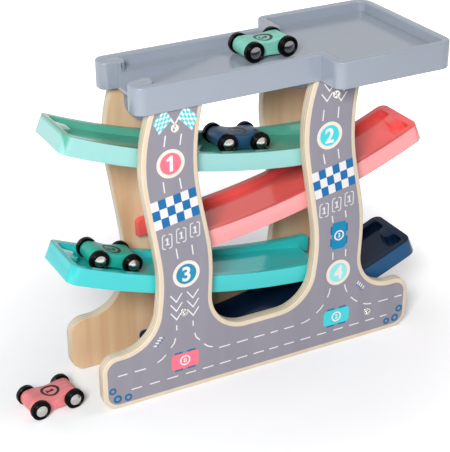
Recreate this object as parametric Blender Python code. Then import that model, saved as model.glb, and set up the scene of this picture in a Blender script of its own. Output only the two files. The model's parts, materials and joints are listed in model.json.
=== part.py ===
# Wooden car ramp toy: two plywood side panels carry a plastic top deck and four
# curved plastic ramps in a zigzag, with four small wooden cars to run down them.
# Metres, +Z up, +X along the toy towards the parking tray, the front panel at -Y.
# The origin is on the floor, in the middle of everything at rest.

import math

import bmesh
import bpy
from mathutils import Matrix, Vector

# General
GAP = 0.0003
ARC_TOLERANCE = 0.00017
WELD = 0.000002
SHARP_EDGE = math.radians(50)
SMOOTH_BELOW = math.radians(32)
SMALL_SIDES = 8
ROUND_SIDES = 12
WHEEL_SIDES = 16
OVERSHOOT = 0.004

# Side panels, drawn from the left end of their feet
PLY = 0.009
CHANNEL = 0.0594
PANEL_ROUND = 0.0012
BASE_HEIGHT = 0.0494
FOOT_RADIUS = 0.014
BASE_FILLET = 0.032
UPRIGHT_PITCH = 0.1446
BASE_BEYOND = 0.1509

# One upright: the corners that its two S-shaped edges are rounded from
LEFT_WAIST_X = 0.0372
LEFT_WAIST_DROP = 0.0465
LEFT_WAIST_RADIUS = 0.137
LEFT_BELLY_X = 0.05415
LEFT_BELLY_Z = 0.1062
LEFT_BELLY_RADIUS = 0.140
LEFT_FOOT_X = 0.0464
LEFT_LEAN = 0.328
RIGHT_WAIST_X = 0.0850
RIGHT_WAIST_DROP = 0.0546
RIGHT_WAIST_RADIUS = 0.190
RIGHT_BELLY_X = 0.1017
RIGHT_BELLY_Z = 0.1211
RIGHT_BELLY_RADIUS = 0.165
RIGHT_FOOT_X = 0.0981
RIGHT_LEAN = 0.200

# Top deck
DECK_TOP = 0.274
SKIRT = 0.0219
DECK_WALL = 0.0022
DECK_FLOOR = 0.0025
DECK_ROUND = 0.0011
RIM_WIDTH = 0.0069
RIM_DEPTH = 0.0087
TRACK_LEFT = 0.037
TRAY_LEFT = 0.197
TRAY_RIGHT = 0.3081
TRAY_WIDTH = 0.1336
TRACK_CORNER = 0.009
STEP_CORNER = 0.009
TRAY_CORNER = 0.013
INNER_CORNER = 0.005
TRAY_INNER_CORNER = 0.0058

# Mouth at the deck's left end, with its dipping lane and two tongues
MOUTH_WIDTH = 0.044
MOUTH_DEPTH = 0.013
MOUTH_CORNER = 0.006
LANE_DROP = 0.0108
LANE_START = 0.135
TONGUE_LENGTH = 0.0205
TONGUE_TIP = 0.0045
SLIT_WIDTH = 0.0023
SLIT_START = 0.008

# Screw tabs that hang from the deck inside the uprights
TAB_LEFT = 0.058
TAB_WIDTH = 0.032
TAB_DROP = 0.0341
TAB_THICKNESS = 0.003
TAB_ROUND_OUT = 0.020
TAB_ROUND_IN = 0.006

# Ramps, each one arc of a large circle, the upper and lower pairs mirrored about TOY_MIDDLE
RAMP_RADIUS = 0.639
RAMP_LENGTH = 0.2576
RAMP_END_SLOPE = math.radians(1.11)
RAMP_SIDE_GAP = 0.0020
RAMP_HEIGHT = 0.0150
RAMP_DEPTH = 0.0057
RAMP_WALL = 0.0060
RAMP_FLOOR = 0.0024
RAMP_SHELL = 0.0022
RAMP_ROUND = 0.0013
NOSE_WALL = 0.006
NOSE_CORNER = 0.008
NOSE_POCKET = 0.004
TAIL_CORNER = 0.0052
TAIL_TIP = 0.0022
TAIL_MOUTH = 0.0115
DIP_START = 0.050
DIP_DROP = 0.0040
BUMP_LENGTH = 0.0088
BUMP_WIDTH = 0.013
BUMP_FLARE = 0.0085
BUMP_RADIUS = 0.0045
RAMP_STATION = 0.0240
TOY_MIDDLE = 0.1455
TAIL_REACH = 0.0836
LOWEST_TAIL = 0.0092
UPPER_TAIL_DROP = 0.1004

# Pins on the ramps' walls, held in blind holes in the panels
PIN_RADIUS = 0.003
PIN_COLLAR = 0.0048
PIN_LENGTH = 0.0040
PIN_LEFT = 0.071
PIN_HEIGHT = 0.0075

# Spacer dowels and screws
DOWEL_RADIUS = 0.006
DOWEL_LEFT_X = 0.074
DOWEL_LEFT_RISE = 0.010
DOWEL_RIGHT_INSET = 0.042
DOWEL_RIGHT_Z = 0.024
DECK_SCREW_X = 0.0695
DECK_SCREW_DROP = 0.0375
SCREW_SHANK = 0.0016
SCREW_HEAD = 0.0036
SCREW_HEAD_DEPTH = 0.0024
SCREW_REACH = 0.0115
SCREW_SOCKET = 0.0015
SOCKET_DEPTH = 0.0013

# Cars
WHEELBASE = 0.0305
WHEEL_RADIUS = 0.0084
WHEEL_WIDTH = 0.0042
WHEEL_SHOULDER = 0.0007
CAR_WIDTH = 0.0310
BODY_CLEARANCE = 0.0006
BODY_HALF_HEIGHT = 0.0069
BODY_WAIST = 0.0053
BODY_ARCH = 0.0063
BODY_WAIST_RADIUS = 0.025
HUMP_HALF = 0.0115
BODY_ROUND = 0.0012
AXLE_RADIUS = 0.002
HUB_RADIUS = 0.0048
HUB_DOME = 0.0013
HUB_CROWN = 0.0031
CROWN_DIP = 0.0003

# Where the four cars stand
DECK_CAR_X = 0.1688
DECK_CAR_Y = 0.0020
FLOOR_CAR_X = -0.0343
FLOOR_CAR_Y = -0.0070
FLOOR_CAR_TURN = math.radians(5.2)
UPPER_CAR_ALONG = 0.0892
LOWER_CAR_GAP = 0.0060

# Sizes that follow from those above
PANEL_OUT = CHANNEL / 2 + PLY
TRACK_HALF = PANEL_OUT + GAP + DECK_WALL
TRAY_HALF = TRAY_WIDTH / 2
SKIRT_BOTTOM = DECK_TOP - SKIRT
LEDGE_Z = DECK_TOP - RIM_DEPTH
DECK_UNDER = LEDGE_Z - DECK_FLOOR
PANEL_TOP = DECK_UNDER - GAP
BASE_LENGTH = UPRIGHT_PITCH + BASE_BEYOND
LEFT_WAIST_Z = PANEL_TOP - LEFT_WAIST_DROP
RIGHT_WAIST_Z = PANEL_TOP - RIGHT_WAIST_DROP
MOUTH_X = TRACK_LEFT + MOUTH_DEPTH
LANE_HALF = MOUTH_WIDTH / 2 - SLIT_WIDTH
RAMP_PITCH = (DECK_TOP - UPPER_TAIL_DROP - LOWEST_TAIL) / 3
RAMP_HALF = CHANNEL / 2 - RAMP_SIDE_GAP
RAMP_INSIDE = RAMP_HALF - RAMP_WALL
RAMP_FLOOR_TOP = RAMP_HEIGHT - RAMP_DEPTH
RECESS_TOP = RAMP_FLOOR_TOP - RAMP_FLOOR
BUMP_START = RAMP_LENGTH - NOSE_WALL - BUMP_LENGTH
DOWEL_LEFT_Z = LOWEST_TAIL + RAMP_PITCH + DOWEL_LEFT_RISE
DOWEL_RIGHT_X = BASE_LENGTH - DOWEL_RIGHT_INSET
DECK_SCREW_Z = DECK_TOP - DECK_SCREW_DROP
HALF_BASE = WHEELBASE / 2
BODY_HALF_WIDTH = CAR_WIDTH / 2 - WHEEL_WIDTH - BODY_CLEARANCE
CAR_RIDE = WHEEL_RADIUS + GAP
LOWER_CAR_ALONG = BUMP_START - HALF_BASE - WHEEL_RADIUS - LOWER_CAR_GAP

MINT = (0.42, 0.80, 0.70)
TEAL = (0.07, 0.62, 0.60)
CORAL = (0.86, 0.20, 0.20)
NAVY = (0.012, 0.045, 0.12)
PINK = (0.80, 0.22, 0.24)
GREY = (0.36, 0.40, 0.46)
BIRCH = (0.80, 0.62, 0.42)
BLACK = (0.012, 0.012, 0.012)
STEEL = (0.72, 0.72, 0.72)


def material(name, colour, roughness, metallic=0.0):
    made = bpy.data.materials.get(name)
    if made is None:
        made = bpy.data.materials.new(name)
        made.use_nodes = True
        shader = made.node_tree.nodes["Principled BSDF"]
        shader.inputs["Base Color"].default_value = (*colour, 1.0)
        shader.inputs["Roughness"].default_value = roughness
        shader.inputs["Metallic"].default_value = metallic
    return made


def arc_steps(angle, radius):
    flat = 2 * math.acos(1 - min(ARC_TOLERANCE / radius, 0.5))
    return max(1, math.ceil(angle / flat))


# A closed outline from its corners, each (a, b, radius), with true arcs at the corners.
def rounded_outline(corners):
    points = []
    for i, (a, b, radius) in enumerate(corners):
        here = Vector((a, b))
        back = (Vector(corners[i - 1][:2]) - here).normalized()
        ahead = (Vector(corners[(i + 1) % len(corners)][:2]) - here).normalized()
        half = back.angle(ahead) / 2
        if radius == 0 or half > math.radians(89.5):
            points.append(here)
            continue
        centre = here + (back + ahead).normalized() * (radius / math.sin(half))
        start = here + back * (radius / math.tan(half)) - centre
        turn = math.pi - 2 * half
        sign = -1 if back.cross(ahead) > 0 else 1
        steps = arc_steps(turn, radius)
        for k in range(steps + 1):
            swing = sign * turn * k / steps
            points.append(centre + Matrix.Rotation(swing, 2) @ start)
    return points


# A prism: the outline lies in the plane of two axes and is pushed along the third.
def prism(name, outline, low, high, along="z"):
    def spot(p, t):
        return {"z": (p[0], p[1], t), "y": (p[0], t, p[1])}[along]

    work = bmesh.new()
    face = work.faces.new([work.verts.new(spot(p, low)) for p in outline])
    pushed = bmesh.ops.extrude_face_region(work, geom=[face])
    shift = Vector(spot((0, 0), high)) - Vector(spot((0, 0), low))
    moved = [item for item in pushed["geom"] if isinstance(item, bmesh.types.BMVert)]
    bmesh.ops.translate(work, verts=moved, vec=shift)
    return finish(name, work)


# A turned piece: the profile is (radius, distance along the axle), spun about Y.
def turned(name, profile, sides):
    work = bmesh.new()
    ring = [work.verts.new((r, y, 0)) for r, y in profile]
    edges = [work.edges.new(pair) for pair in zip(ring, ring[1:])]
    if profile[0][0] > 0:
        edges.append(work.edges.new((ring[-1], ring[0])))
    bmesh.ops.spin(work, geom=ring + edges, cent=(0, 0, 0), axis=(0, 1, 0), dvec=(0, 0, 0),
                   angle=2 * math.pi, steps=sides, use_merge=True)
    bmesh.ops.remove_doubles(work, verts=work.verts, dist=WELD)
    return finish(name, work)


# A plain round bar along Y, so long to each side of its middle.
def bar(name, radius, half, sides):
    return turned(name, [(0, -half), (radius, -half), (radius, half), (0, half)], sides)


def finish(name, work):
    bmesh.ops.recalc_face_normals(work, faces=work.faces)
    mesh = bpy.data.meshes.new(name)
    work.to_mesh(mesh)
    work.free()
    made = bpy.data.objects.new(name, mesh)
    bpy.context.scene.collection.objects.link(made)
    return made


# One Boolean, applied at once, so that the tool body can go.
def combine(target, tool, operation):
    step = target.modifiers.new(operation, "BOOLEAN")
    step.operation = operation
    step.solver = "EXACT"
    step.object = tool
    bpy.context.view_layer.update()
    baked = target.evaluated_get(bpy.context.evaluated_depsgraph_get())
    mesh = bpy.data.meshes.new_from_object(baked)
    target.modifiers.clear()
    target.data = mesh
    bpy.data.objects.remove(tool)
    work = bmesh.new()
    work.from_mesh(mesh)
    bmesh.ops.remove_doubles(work, verts=work.verts, dist=WELD)
    bmesh.ops.dissolve_degenerate(work, edges=work.edges, dist=WELD)
    bmesh.ops.dissolve_limit(work, angle_limit=math.radians(0.05), verts=work.verts,
                             edges=work.edges, delimit={"NORMAL"})
    work.to_mesh(mesh)
    work.free()
    return target


# Rounds the sharp edges for which the test on their two ends holds.
def round_edges(target, test, width, segments):
    work = bmesh.new()
    work.from_mesh(target.data)
    sharp = [edge for edge in work.edges
             if edge.is_manifold and edge.calc_face_angle() > SHARP_EDGE
             and test(edge.verts[0].co, edge.verts[1].co)]
    bmesh.ops.bevel(work, geom=sharp, offset=width, segments=segments, profile=0.5,
                    affect="EDGES", clamp_overlap=True)
    work.to_mesh(target.data)
    work.free()


def both_at(axis, value):
    return lambda p, q: max(abs(p[axis] - value), abs(q[axis] - value)) < WELD


def shade(target, look):
    target.data.materials.clear()
    target.data.materials.append(look)
    target.data.shade_smooth()
    target.data.set_sharp_from_angle(angle=SMOOTH_BELOW)


def upright_left_edge(shift):
    top_x = LEFT_WAIST_X + LEFT_LEAN * (PANEL_TOP - LEFT_WAIST_Z)
    return [
        (top_x + shift, PANEL_TOP, 0),
        (LEFT_WAIST_X + shift, LEFT_WAIST_Z, LEFT_WAIST_RADIUS),
        (LEFT_BELLY_X + shift, LEFT_BELLY_Z, LEFT_BELLY_RADIUS),
        (LEFT_FOOT_X + shift, BASE_HEIGHT, BASE_FILLET),
    ]


def upright_right_edge(shift):
    top_x = RIGHT_WAIST_X + RIGHT_LEAN * (PANEL_TOP - RIGHT_WAIST_Z)
    return [
        (RIGHT_FOOT_X + shift, BASE_HEIGHT, BASE_FILLET),
        (RIGHT_BELLY_X + shift, RIGHT_BELLY_Z, RIGHT_BELLY_RADIUS),
        (RIGHT_WAIST_X + shift, RIGHT_WAIST_Z, RIGHT_WAIST_RADIUS),
        (top_x + shift, PANEL_TOP, 0),
    ]


def panel_outline():
    foot = [
        (0, BASE_HEIGHT, FOOT_RADIUS),
        (0, 0, FOOT_RADIUS),
        (BASE_LENGTH, 0, FOOT_RADIUS),
        (BASE_LENGTH, BASE_HEIGHT, FOOT_RADIUS),
    ]
    return rounded_outline(
        upright_left_edge(0) + foot
        + upright_right_edge(UPRIGHT_PITCH) + upright_left_edge(UPRIGHT_PITCH)
        + upright_right_edge(0))


def screw_spots():
    return [
        (DECK_SCREW_X, DECK_SCREW_Z),
        (DECK_SCREW_X + UPRIGHT_PITCH, DECK_SCREW_Z),
        (DOWEL_LEFT_X, DOWEL_LEFT_Z),
        (DOWEL_RIGHT_X, DOWEL_RIGHT_Z),
    ]


# The countersunk screw, standing along +Y with its head's face at y = 0.
def screw_profile(extra):
    head = SCREW_HEAD + extra
    shank = SCREW_SHANK + extra
    tip = SCREW_REACH + extra
    return [(0, 0), (head, 0), (head, extra + GAP), (shank, SCREW_HEAD_DEPTH + extra),
            (shank, tip), (0, tip)]


# The same shape, a little larger, to cut from the pieces that the screw goes through.
def screw_cutter(side, x, z):
    cutter = turned("cutter", screw_profile(GAP), ROUND_SIDES)
    if side > 0:
        cutter.data.transform(Matrix.Rotation(math.pi, 4, "Z"))
    cutter.data.transform(Matrix.Translation((x, side * PANEL_OUT, z)))
    return cutter


def build_panel(name, side):
    inner = side * CHANNEL / 2
    outer = side * PANEL_OUT
    panel = prism(name, panel_outline(), min(inner, outer), max(inner, outer), "y")
    round_edges(panel, both_at(1, inner), PANEL_ROUND, 1)
    round_edges(panel, both_at(1, outer), PANEL_ROUND, 1)
    for x, z in screw_spots():
        combine(panel, screw_cutter(side, x, z), "DIFFERENCE")
    for ramp_name, way, tier, colour in RAMPS:
        for x, z in pin_spots(way, tier):
            hole = bar("hole", PIN_RADIUS + GAP, PIN_LENGTH + GAP, SMALL_SIDES)
            hole.data.transform(Matrix.Translation((x, inner, z)))
            combine(panel, hole, "DIFFERENCE")
    shade(panel, material("birch_plywood", BIRCH, 0.55))
    return panel


def build_screw(name, x, z, side):
    screw = turned(name, screw_profile(0), ROUND_SIDES)
    combine(screw, bar("socket", SCREW_SOCKET, SOCKET_DEPTH, 6), "DIFFERENCE")
    screw.data.transform(Matrix.Translation((0, GAP, 0)))
    screw.rotation_euler = (0, 0, 0 if side < 0 else math.pi)
    screw.location = (x, side * PANEL_OUT, z)
    shade(screw, material("screw_steel", STEEL, 0.35, 1.0))
    return screw


def build_dowel(name, x, z):
    dowel = bar(name, DOWEL_RADIUS, CHANNEL / 2 - GAP, WHEEL_SIDES)
    for side in (-1, 1):
        combine(dowel, screw_cutter(side, 0, 0), "DIFFERENCE")
    dowel.location = (x, 0, z)
    shade(dowel, material("birch_dowel", BIRCH, 0.6))
    return dowel


def deck_outline(inset):
    left = TRACK_LEFT + inset
    step = TRAY_LEFT + inset
    right = TRAY_RIGHT - inset
    track = TRACK_HALF - inset
    tray = TRAY_HALF - inset
    mouth = MOUTH_WIDTH / 2 + inset
    back = MOUTH_X + inset
    track_corner = max(TRACK_CORNER - inset, GAP)
    step_corner = max(STEP_CORNER - inset, GAP)
    tray_corner = max(TRAY_CORNER - inset, GAP)
    mouth_corner = max(MOUTH_CORNER - inset, GAP)
    front = [
        (back, -mouth, 0),
        (left, -mouth, mouth_corner),
        (left, -track, track_corner),
        (step, -track, 0),
        (step, -tray, step_corner),
        (right, -tray, tray_corner),
    ]
    rear = [(x, -y, r) for x, y, r in reversed(front)]
    return rounded_outline(front + rear)


# The sunk floor's outline, which leaves the rim and the two tongues standing.
def sunk_outline():
    tip = TRACK_LEFT + TONGUE_LENGTH
    slit = TRACK_LEFT + SLIT_START
    track = TRACK_HALF - RIM_WIDTH
    tray = TRAY_HALF - RIM_WIDTH
    tongue = track - SLIT_WIDTH
    step = TRAY_LEFT + RIM_WIDTH
    right = TRAY_RIGHT - RIM_WIDTH
    front = [
        (MOUTH_X + OVERSHOOT, -LANE_HALF, 0),
        (tip, -LANE_HALF, TONGUE_TIP),
        (tip, -tongue, TONGUE_TIP),
        (slit, -tongue, 0),
        (slit, -track, 0),
        (step, -track, 0),
        (step, -tray, INNER_CORNER),
        (right, -tray, TRAY_INNER_CORNER),
    ]
    rear = [(x, -y, r) for x, y, r in reversed(front)]
    return rounded_outline(front + rear)


def lane_floor(x):
    return LEDGE_Z - LANE_DROP * (LANE_START - x) / (LANE_START - MOUTH_X)


def build_deck():
    deck = prism("top_deck", deck_outline(0), SKIRT_BOTTOM, DECK_TOP)
    hollow = prism("hollow", deck_outline(DECK_WALL), SKIRT_BOTTOM - OVERSHOOT, DECK_UNDER)
    combine(deck, hollow, "DIFFERENCE")
    combine(deck, prism("sunk", sunk_outline(), LEDGE_Z, DECK_TOP + OVERSHOOT), "DIFFERENCE")

    half = LANE_HALF
    wall = DECK_WALL
    run = MOUTH_X + wall / 2
    trough = prism("trough", [(run, lane_floor(run) - wall), (LANE_START, LEDGE_Z - wall),
                              (LANE_START, LEDGE_Z - wall / 2), (run, LEDGE_Z - wall / 2)],
                   -half - wall, half + wall, "y")
    combine(deck, trough, "UNION")
    out = TRACK_LEFT - OVERSHOOT
    lane = prism("lane", [(out, lane_floor(out)), (LANE_START, LEDGE_Z),
                          (LANE_START, DECK_TOP), (out, DECK_TOP + OVERSHOOT)], -half, half, "y")
    combine(deck, lane, "DIFFERENCE")
    round_edges(deck, both_at(2, DECK_TOP), DECK_ROUND, 2)

    for shift in (0, UPRIGHT_PITCH):
        for side in (-1, 1):
            face = side * (CHANNEL / 2 - GAP)
            back = face - side * TAB_THICKNESS
            left = TAB_LEFT + shift
            right = left + TAB_WIDTH
            low = SKIRT_BOTTOM - TAB_DROP
            top = DECK_UNDER + DECK_FLOOR / 2
            tab = prism("tab", rounded_outline([(left, top, 0), (left, low, TAB_ROUND_OUT),
                                                (right, low, TAB_ROUND_IN), (right, top, 0)]),
                        min(face, back), max(face, back), "y")
            combine(tab, screw_cutter(side, DECK_SCREW_X + shift, DECK_SCREW_Z), "DIFFERENCE")
            combine(deck, tab, "UNION")
    shade(deck, material("deck_plastic", GREY, 0.32))
    return deck


# Each ramp: name, way that its nose points (-1 left, 1 right), tier from the top, colour.
RAMPS = [
    ("ramp_1_mint", -1, 0, MINT),
    ("ramp_2_coral", 1, 1, CORAL),
    ("ramp_3_teal", -1, 2, TEAL),
    ("ramp_4_navy", 1, 3, NAVY),
]


def ramp_centre(way, tier):
    tail_x = TOY_MIDDLE - way * TAIL_REACH
    tail_z = DECK_TOP - UPPER_TAIL_DROP - tier * RAMP_PITCH
    return Vector((tail_x - way * RAMP_RADIUS * math.sin(RAMP_END_SLOPE),
                   tail_z + RAMP_RADIUS * math.cos(RAMP_END_SLOPE)))


# A point on a ramp: so far along it from the low end, so high above its lower edge.
def on_ramp(way, tier, along, height):
    slope = RAMP_END_SLOPE + along / RAMP_RADIUS
    reach = RAMP_RADIUS - height
    centre = ramp_centre(way, tier)
    return Vector((centre.x + way * reach * math.sin(slope), centre.y - reach * math.cos(slope)))


# The two pins of each wall stand where the ramp crosses the uprights.
def pin_spots(way, tier):
    centre = ramp_centre(way, tier)
    spots = []
    for x in (PIN_LEFT, PIN_LEFT + UPRIGHT_PITCH):
        slope = math.asin(way * (x - centre.x) / (RAMP_RADIUS - PIN_HEIGHT))
        spots.append((x, centre.y - (RAMP_RADIUS - PIN_HEIGHT) * math.cos(slope)))
    return spots


# How far the floor has dropped, so far from the ramp's low end.
def floor_dip(along):
    return DIP_DROP * (DIP_START - along) / (DIP_START - TAIL_MOUTH)


# A ramp is built flat, with its low end at x = 0, and then bent on its arc.
def build_ramp(name, way, tier, colour):
    side_view = rounded_outline([
        (0, 0, 0),
        (RAMP_LENGTH, 0, RAMP_ROUND),
        (RAMP_LENGTH, RAMP_HEIGHT, 0),
        (0, RAMP_HEIGHT, TAIL_CORNER),
    ])
    body = prism(name, side_view, -RAMP_HALF, RAMP_HALF, "y")
    plan = rounded_outline([
        (TAIL_MOUTH, -RAMP_INSIDE, 0),
        (0, -RAMP_INSIDE, TAIL_TIP),
        (0, -RAMP_HALF, TAIL_TIP),
        (RAMP_LENGTH, -RAMP_HALF, NOSE_CORNER),
        (RAMP_LENGTH, RAMP_HALF, NOSE_CORNER),
        (0, RAMP_HALF, TAIL_TIP),
        (0, RAMP_INSIDE, TAIL_TIP),
        (TAIL_MOUTH, RAMP_INSIDE, 0),
    ])
    combine(body, prism("plan", plan, -OVERSHOOT, RAMP_HEIGHT + OVERSHOOT), "INTERSECT")

    nose = RAMP_LENGTH - NOSE_WALL
    inside = rounded_outline([
        (-OVERSHOOT, -RAMP_INSIDE, 0),
        (nose, -RAMP_INSIDE, NOSE_POCKET),
        (nose, -BUMP_FLARE, BUMP_RADIUS / 2),
        (BUMP_START, -BUMP_WIDTH / 2, BUMP_RADIUS),
        (BUMP_START, BUMP_WIDTH / 2, BUMP_RADIUS),
        (nose, BUMP_FLARE, BUMP_RADIUS / 2),
        (nose, RAMP_INSIDE, NOSE_POCKET),
        (-OVERSHOOT, RAMP_INSIDE, 0),
    ])
    combine(body, prism("inside", inside, RAMP_FLOOR_TOP, RAMP_HEIGHT + OVERSHOOT), "DIFFERENCE")
    round_edges(body, both_at(2, RAMP_HEIGHT), RAMP_ROUND, 1)
    clear = RAMP_HEIGHT - RAMP_DEPTH / 2
    dip = [(0, RAMP_FLOOR_TOP - floor_dip(0)), (DIP_START, RAMP_FLOOR_TOP), (DIP_START, clear), (0, clear)]
    combine(body, prism("dip", dip, -RAMP_INSIDE, RAMP_INSIDE, "y"), "DIFFERENCE")

    shell = RAMP_HALF - RAMP_SHELL
    end = RAMP_LENGTH - RAMP_SHELL
    start = TAIL_MOUTH + RAMP_SHELL
    recess = prism("recess", [(start, -OVERSHOOT), (end, -OVERSHOOT), (end, RECESS_TOP),
                              (DIP_START, RECESS_TOP), (start, RECESS_TOP - floor_dip(start))],
                   -shell, shell, "y")
    recess_plan = rounded_outline([
        (start - OVERSHOOT, -shell, 0),
        (end, -shell, NOSE_CORNER - RAMP_SHELL),
        (end, shell, NOSE_CORNER - RAMP_SHELL),
        (start - OVERSHOOT, shell, 0),
    ])
    combine(recess, prism("plan", recess_plan, -2 * OVERSHOOT, RAMP_HEIGHT), "INTERSECT")
    combine(body, recess, "DIFFERENCE")

    work = bmesh.new()
    work.from_mesh(body.data)
    stations = math.ceil(RAMP_LENGTH / RAMP_STATION)
    for k in range(1, stations):
        everything = work.verts[:] + work.edges[:] + work.faces[:]
        bmesh.ops.bisect_plane(work, geom=everything, dist=WELD, plane_no=(1, 0, 0),
                               plane_co=(RAMP_LENGTH * k / stations, 0, 0))
    for vert in work.verts:
        bent = on_ramp(way, tier, vert.co.x, vert.co.z)
        vert.co = (bent.x, vert.co.y, bent.y)
    if way < 0:
        bmesh.ops.reverse_faces(work, faces=work.faces)
    work.to_mesh(body.data)
    work.free()

    root = RAMP_HALF - RAMP_SHELL / 2
    collar = CHANNEL / 2 - GAP
    reach = CHANNEL / 2 + PIN_LENGTH
    profile = [(0, root), (PIN_COLLAR, root), (PIN_COLLAR, collar), (PIN_RADIUS, collar),
               (PIN_RADIUS, reach), (0, reach)]
    for x, z in pin_spots(way, tier):
        for side in (-1, 1):
            pin = turned("pin", profile, SMALL_SIDES)
            if side < 0:
                pin.data.transform(Matrix.Rotation(math.pi, 4, "Z"))
            pin.data.transform(Matrix.Translation((x, 0, z)))
            combine(body, pin, "UNION")
    shade(body, material(name.split("_")[-1] + "_plastic", colour, 0.3))
    return body


# The body's outline from the side: a waist along the top and a shallower arch below.
def body_outline():
    def edge(waist):
        high = BODY_HALF_HEIGHT
        end = HALF_BASE + high
        return [(-end, high, high - GAP), (-HUMP_HALF, high, HUMP_HALF),
                (0, waist, BODY_WAIST_RADIUS), (HUMP_HALF, high, HUMP_HALF), (end, high, high - GAP)]

    lower = [(a, -b, r) for a, b, r in reversed(edge(BODY_ARCH))]
    return rounded_outline(edge(BODY_WAIST) + lower)


def build_car(name, colour, place, turn, parent):
    body = prism(name + "_body", body_outline(), -BODY_HALF_WIDTH, BODY_HALF_WIDTH, "y")
    for side in (-1, 1):
        round_edges(body, both_at(1, side * BODY_HALF_WIDTH), BODY_ROUND, 1)
    for x in (-HALF_BASE, HALF_BASE):
        bore = bar("bore", AXLE_RADIUS + GAP, CAR_WIDTH, ROUND_SIDES)
        bore.location.x = x
        combine(body, bore, "DIFFERENCE")
    shade(body, material(name + "_paint", colour, 0.45))
    body.parent = parent
    body.location = place
    body.rotation_euler = turn

    half = CAR_WIDTH / 2
    inside = half - WHEEL_WIDTH
    bore = AXLE_RADIUS + GAP
    wheel_profile = [(bore, inside), (WHEEL_RADIUS, inside), (WHEEL_RADIUS, half - WHEEL_SHOULDER),
                     (WHEEL_RADIUS - WHEEL_SHOULDER, half), (bore, half)]
    seat = half + GAP
    crown = seat + HUB_DOME - CROWN_DIP
    near = [(0, -seat - HUB_DOME), (HUB_CROWN, -crown), (HUB_RADIUS, -seat), (AXLE_RADIUS, -seat)]
    axle_profile = near + [(r, -y) for r, y in reversed(near)]
    for end, x in (("rear", -HALF_BASE), ("front", HALF_BASE)):
        axle = turned(f"{name}_{end}_axle", axle_profile, ROUND_SIDES)
        shade(axle, material("axle_steel", STEEL, 0.2, 1.0))
        axle.parent = body
        axle.location = (x, 0, 0)
        for hand, side in (("near", -1), ("far", 1)):
            wheel = turned(f"{name}_{end}_wheel_{hand}", wheel_profile, WHEEL_SIDES)
            if side < 0:
                wheel.data.transform(Matrix.Rotation(math.pi, 4, "Z"))
            shade(wheel, material("wheel_black", BLACK, 0.35))
            wheel.parent = body
            wheel.location = (x, 0, 0)
    return body


# A car on a ramp turns about the centre of the ramp's arc, so an empty stands there.
def build_ramp_car(name, colour, way, tier, along):
    middle = ramp_centre(way, tier)
    slope = RAMP_END_SLOPE + along / RAMP_RADIUS
    pivot = bpy.data.objects.new(name + "_arc_centre", None)
    bpy.context.scene.collection.objects.link(pivot)
    pivot.location = (middle.x, 0, middle.y)
    pivot.rotation_euler = (0, -way * slope, 0)
    reach = RAMP_RADIUS - RAMP_FLOOR_TOP - CAR_RIDE
    drop = math.sqrt(reach ** 2 - HALF_BASE ** 2)
    build_car(name, colour, (0, 0, -drop), (0, 0, 0), pivot)
    return pivot


def main():
    for old in list(bpy.data.objects):
        bpy.data.objects.remove(old)

    roots = [build_panel("front_panel", -1), build_panel("back_panel", 1), build_deck()]
    roots += [build_ramp(*ramp) for ramp in RAMPS]
    roots.append(build_dowel("spacer_dowel_left", DOWEL_LEFT_X, DOWEL_LEFT_Z))
    roots.append(build_dowel("spacer_dowel_right", DOWEL_RIGHT_X, DOWEL_RIGHT_Z))
    for face, side in (("front", -1), ("back", 1)):
        for number, (x, z) in enumerate(screw_spots(), start=1):
            roots.append(build_screw(f"{face}_screw_{number}", x, z, side))

    stand = LEDGE_Z + CAR_RIDE
    roots.append(build_car("car_mint", MINT, (DECK_CAR_X, DECK_CAR_Y, stand), (0, 0, 0), None))
    roots.append(build_ramp_car("car_navy", NAVY, -1, 0, UPPER_CAR_ALONG))
    roots.append(build_ramp_car("car_teal", TEAL, -1, 2, LOWER_CAR_ALONG))
    roots.append(build_car("car_pink", PINK, (FLOOR_CAR_X, FLOOR_CAR_Y, WHEEL_RADIUS),
                           (0, 0, FLOOR_CAR_TURN), None))

    toy = bpy.data.objects.new("toy_frame", None)
    bpy.context.scene.collection.objects.link(toy)
    for piece in roots:
        piece.parent = toy
    bpy.context.view_layer.update()

    # The toy's middle in X goes to the origin.
    reach = [(piece.matrix_world @ vert.co).x for piece in bpy.data.objects
             if piece.type == "MESH" for vert in piece.data.vertices]
    toy.location.x = -(min(reach) + max(reach)) / 2
    bpy.context.view_layer.update()


main()
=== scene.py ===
import json
import math
import bmesh
import bpy
from mathutils import Matrix, Vector


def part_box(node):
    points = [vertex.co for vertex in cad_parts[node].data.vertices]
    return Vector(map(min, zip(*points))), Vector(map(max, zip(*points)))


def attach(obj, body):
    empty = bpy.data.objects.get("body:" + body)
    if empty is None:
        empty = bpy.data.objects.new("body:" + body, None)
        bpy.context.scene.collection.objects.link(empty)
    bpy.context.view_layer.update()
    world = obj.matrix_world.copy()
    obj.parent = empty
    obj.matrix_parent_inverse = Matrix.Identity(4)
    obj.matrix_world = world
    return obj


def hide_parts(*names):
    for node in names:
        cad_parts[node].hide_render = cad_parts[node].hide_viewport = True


# Wooden car ramp toy: printed plywood sides, grey top deck, four curved ramps, four little cars.
# The drawing starts at the left end of the feet, and footX moves each fixed piece to the shared frame.
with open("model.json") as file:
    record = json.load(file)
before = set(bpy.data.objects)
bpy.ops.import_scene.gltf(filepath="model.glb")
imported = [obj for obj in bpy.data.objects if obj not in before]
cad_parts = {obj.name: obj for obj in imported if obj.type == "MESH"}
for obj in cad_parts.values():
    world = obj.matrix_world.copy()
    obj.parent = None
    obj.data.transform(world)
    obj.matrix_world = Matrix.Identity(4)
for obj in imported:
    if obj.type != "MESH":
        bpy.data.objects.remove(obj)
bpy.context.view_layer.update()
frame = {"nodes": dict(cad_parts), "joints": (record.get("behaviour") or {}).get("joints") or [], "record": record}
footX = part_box("front_panel")[0].x
gap = 0.0003  # between pieces that touch
over = 0.004  # how far a cutter reaches past what it cuts
weld, fineWeld = 2e-6, 1e-7  # closer points are one, after a cut and in a fresh shape
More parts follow.
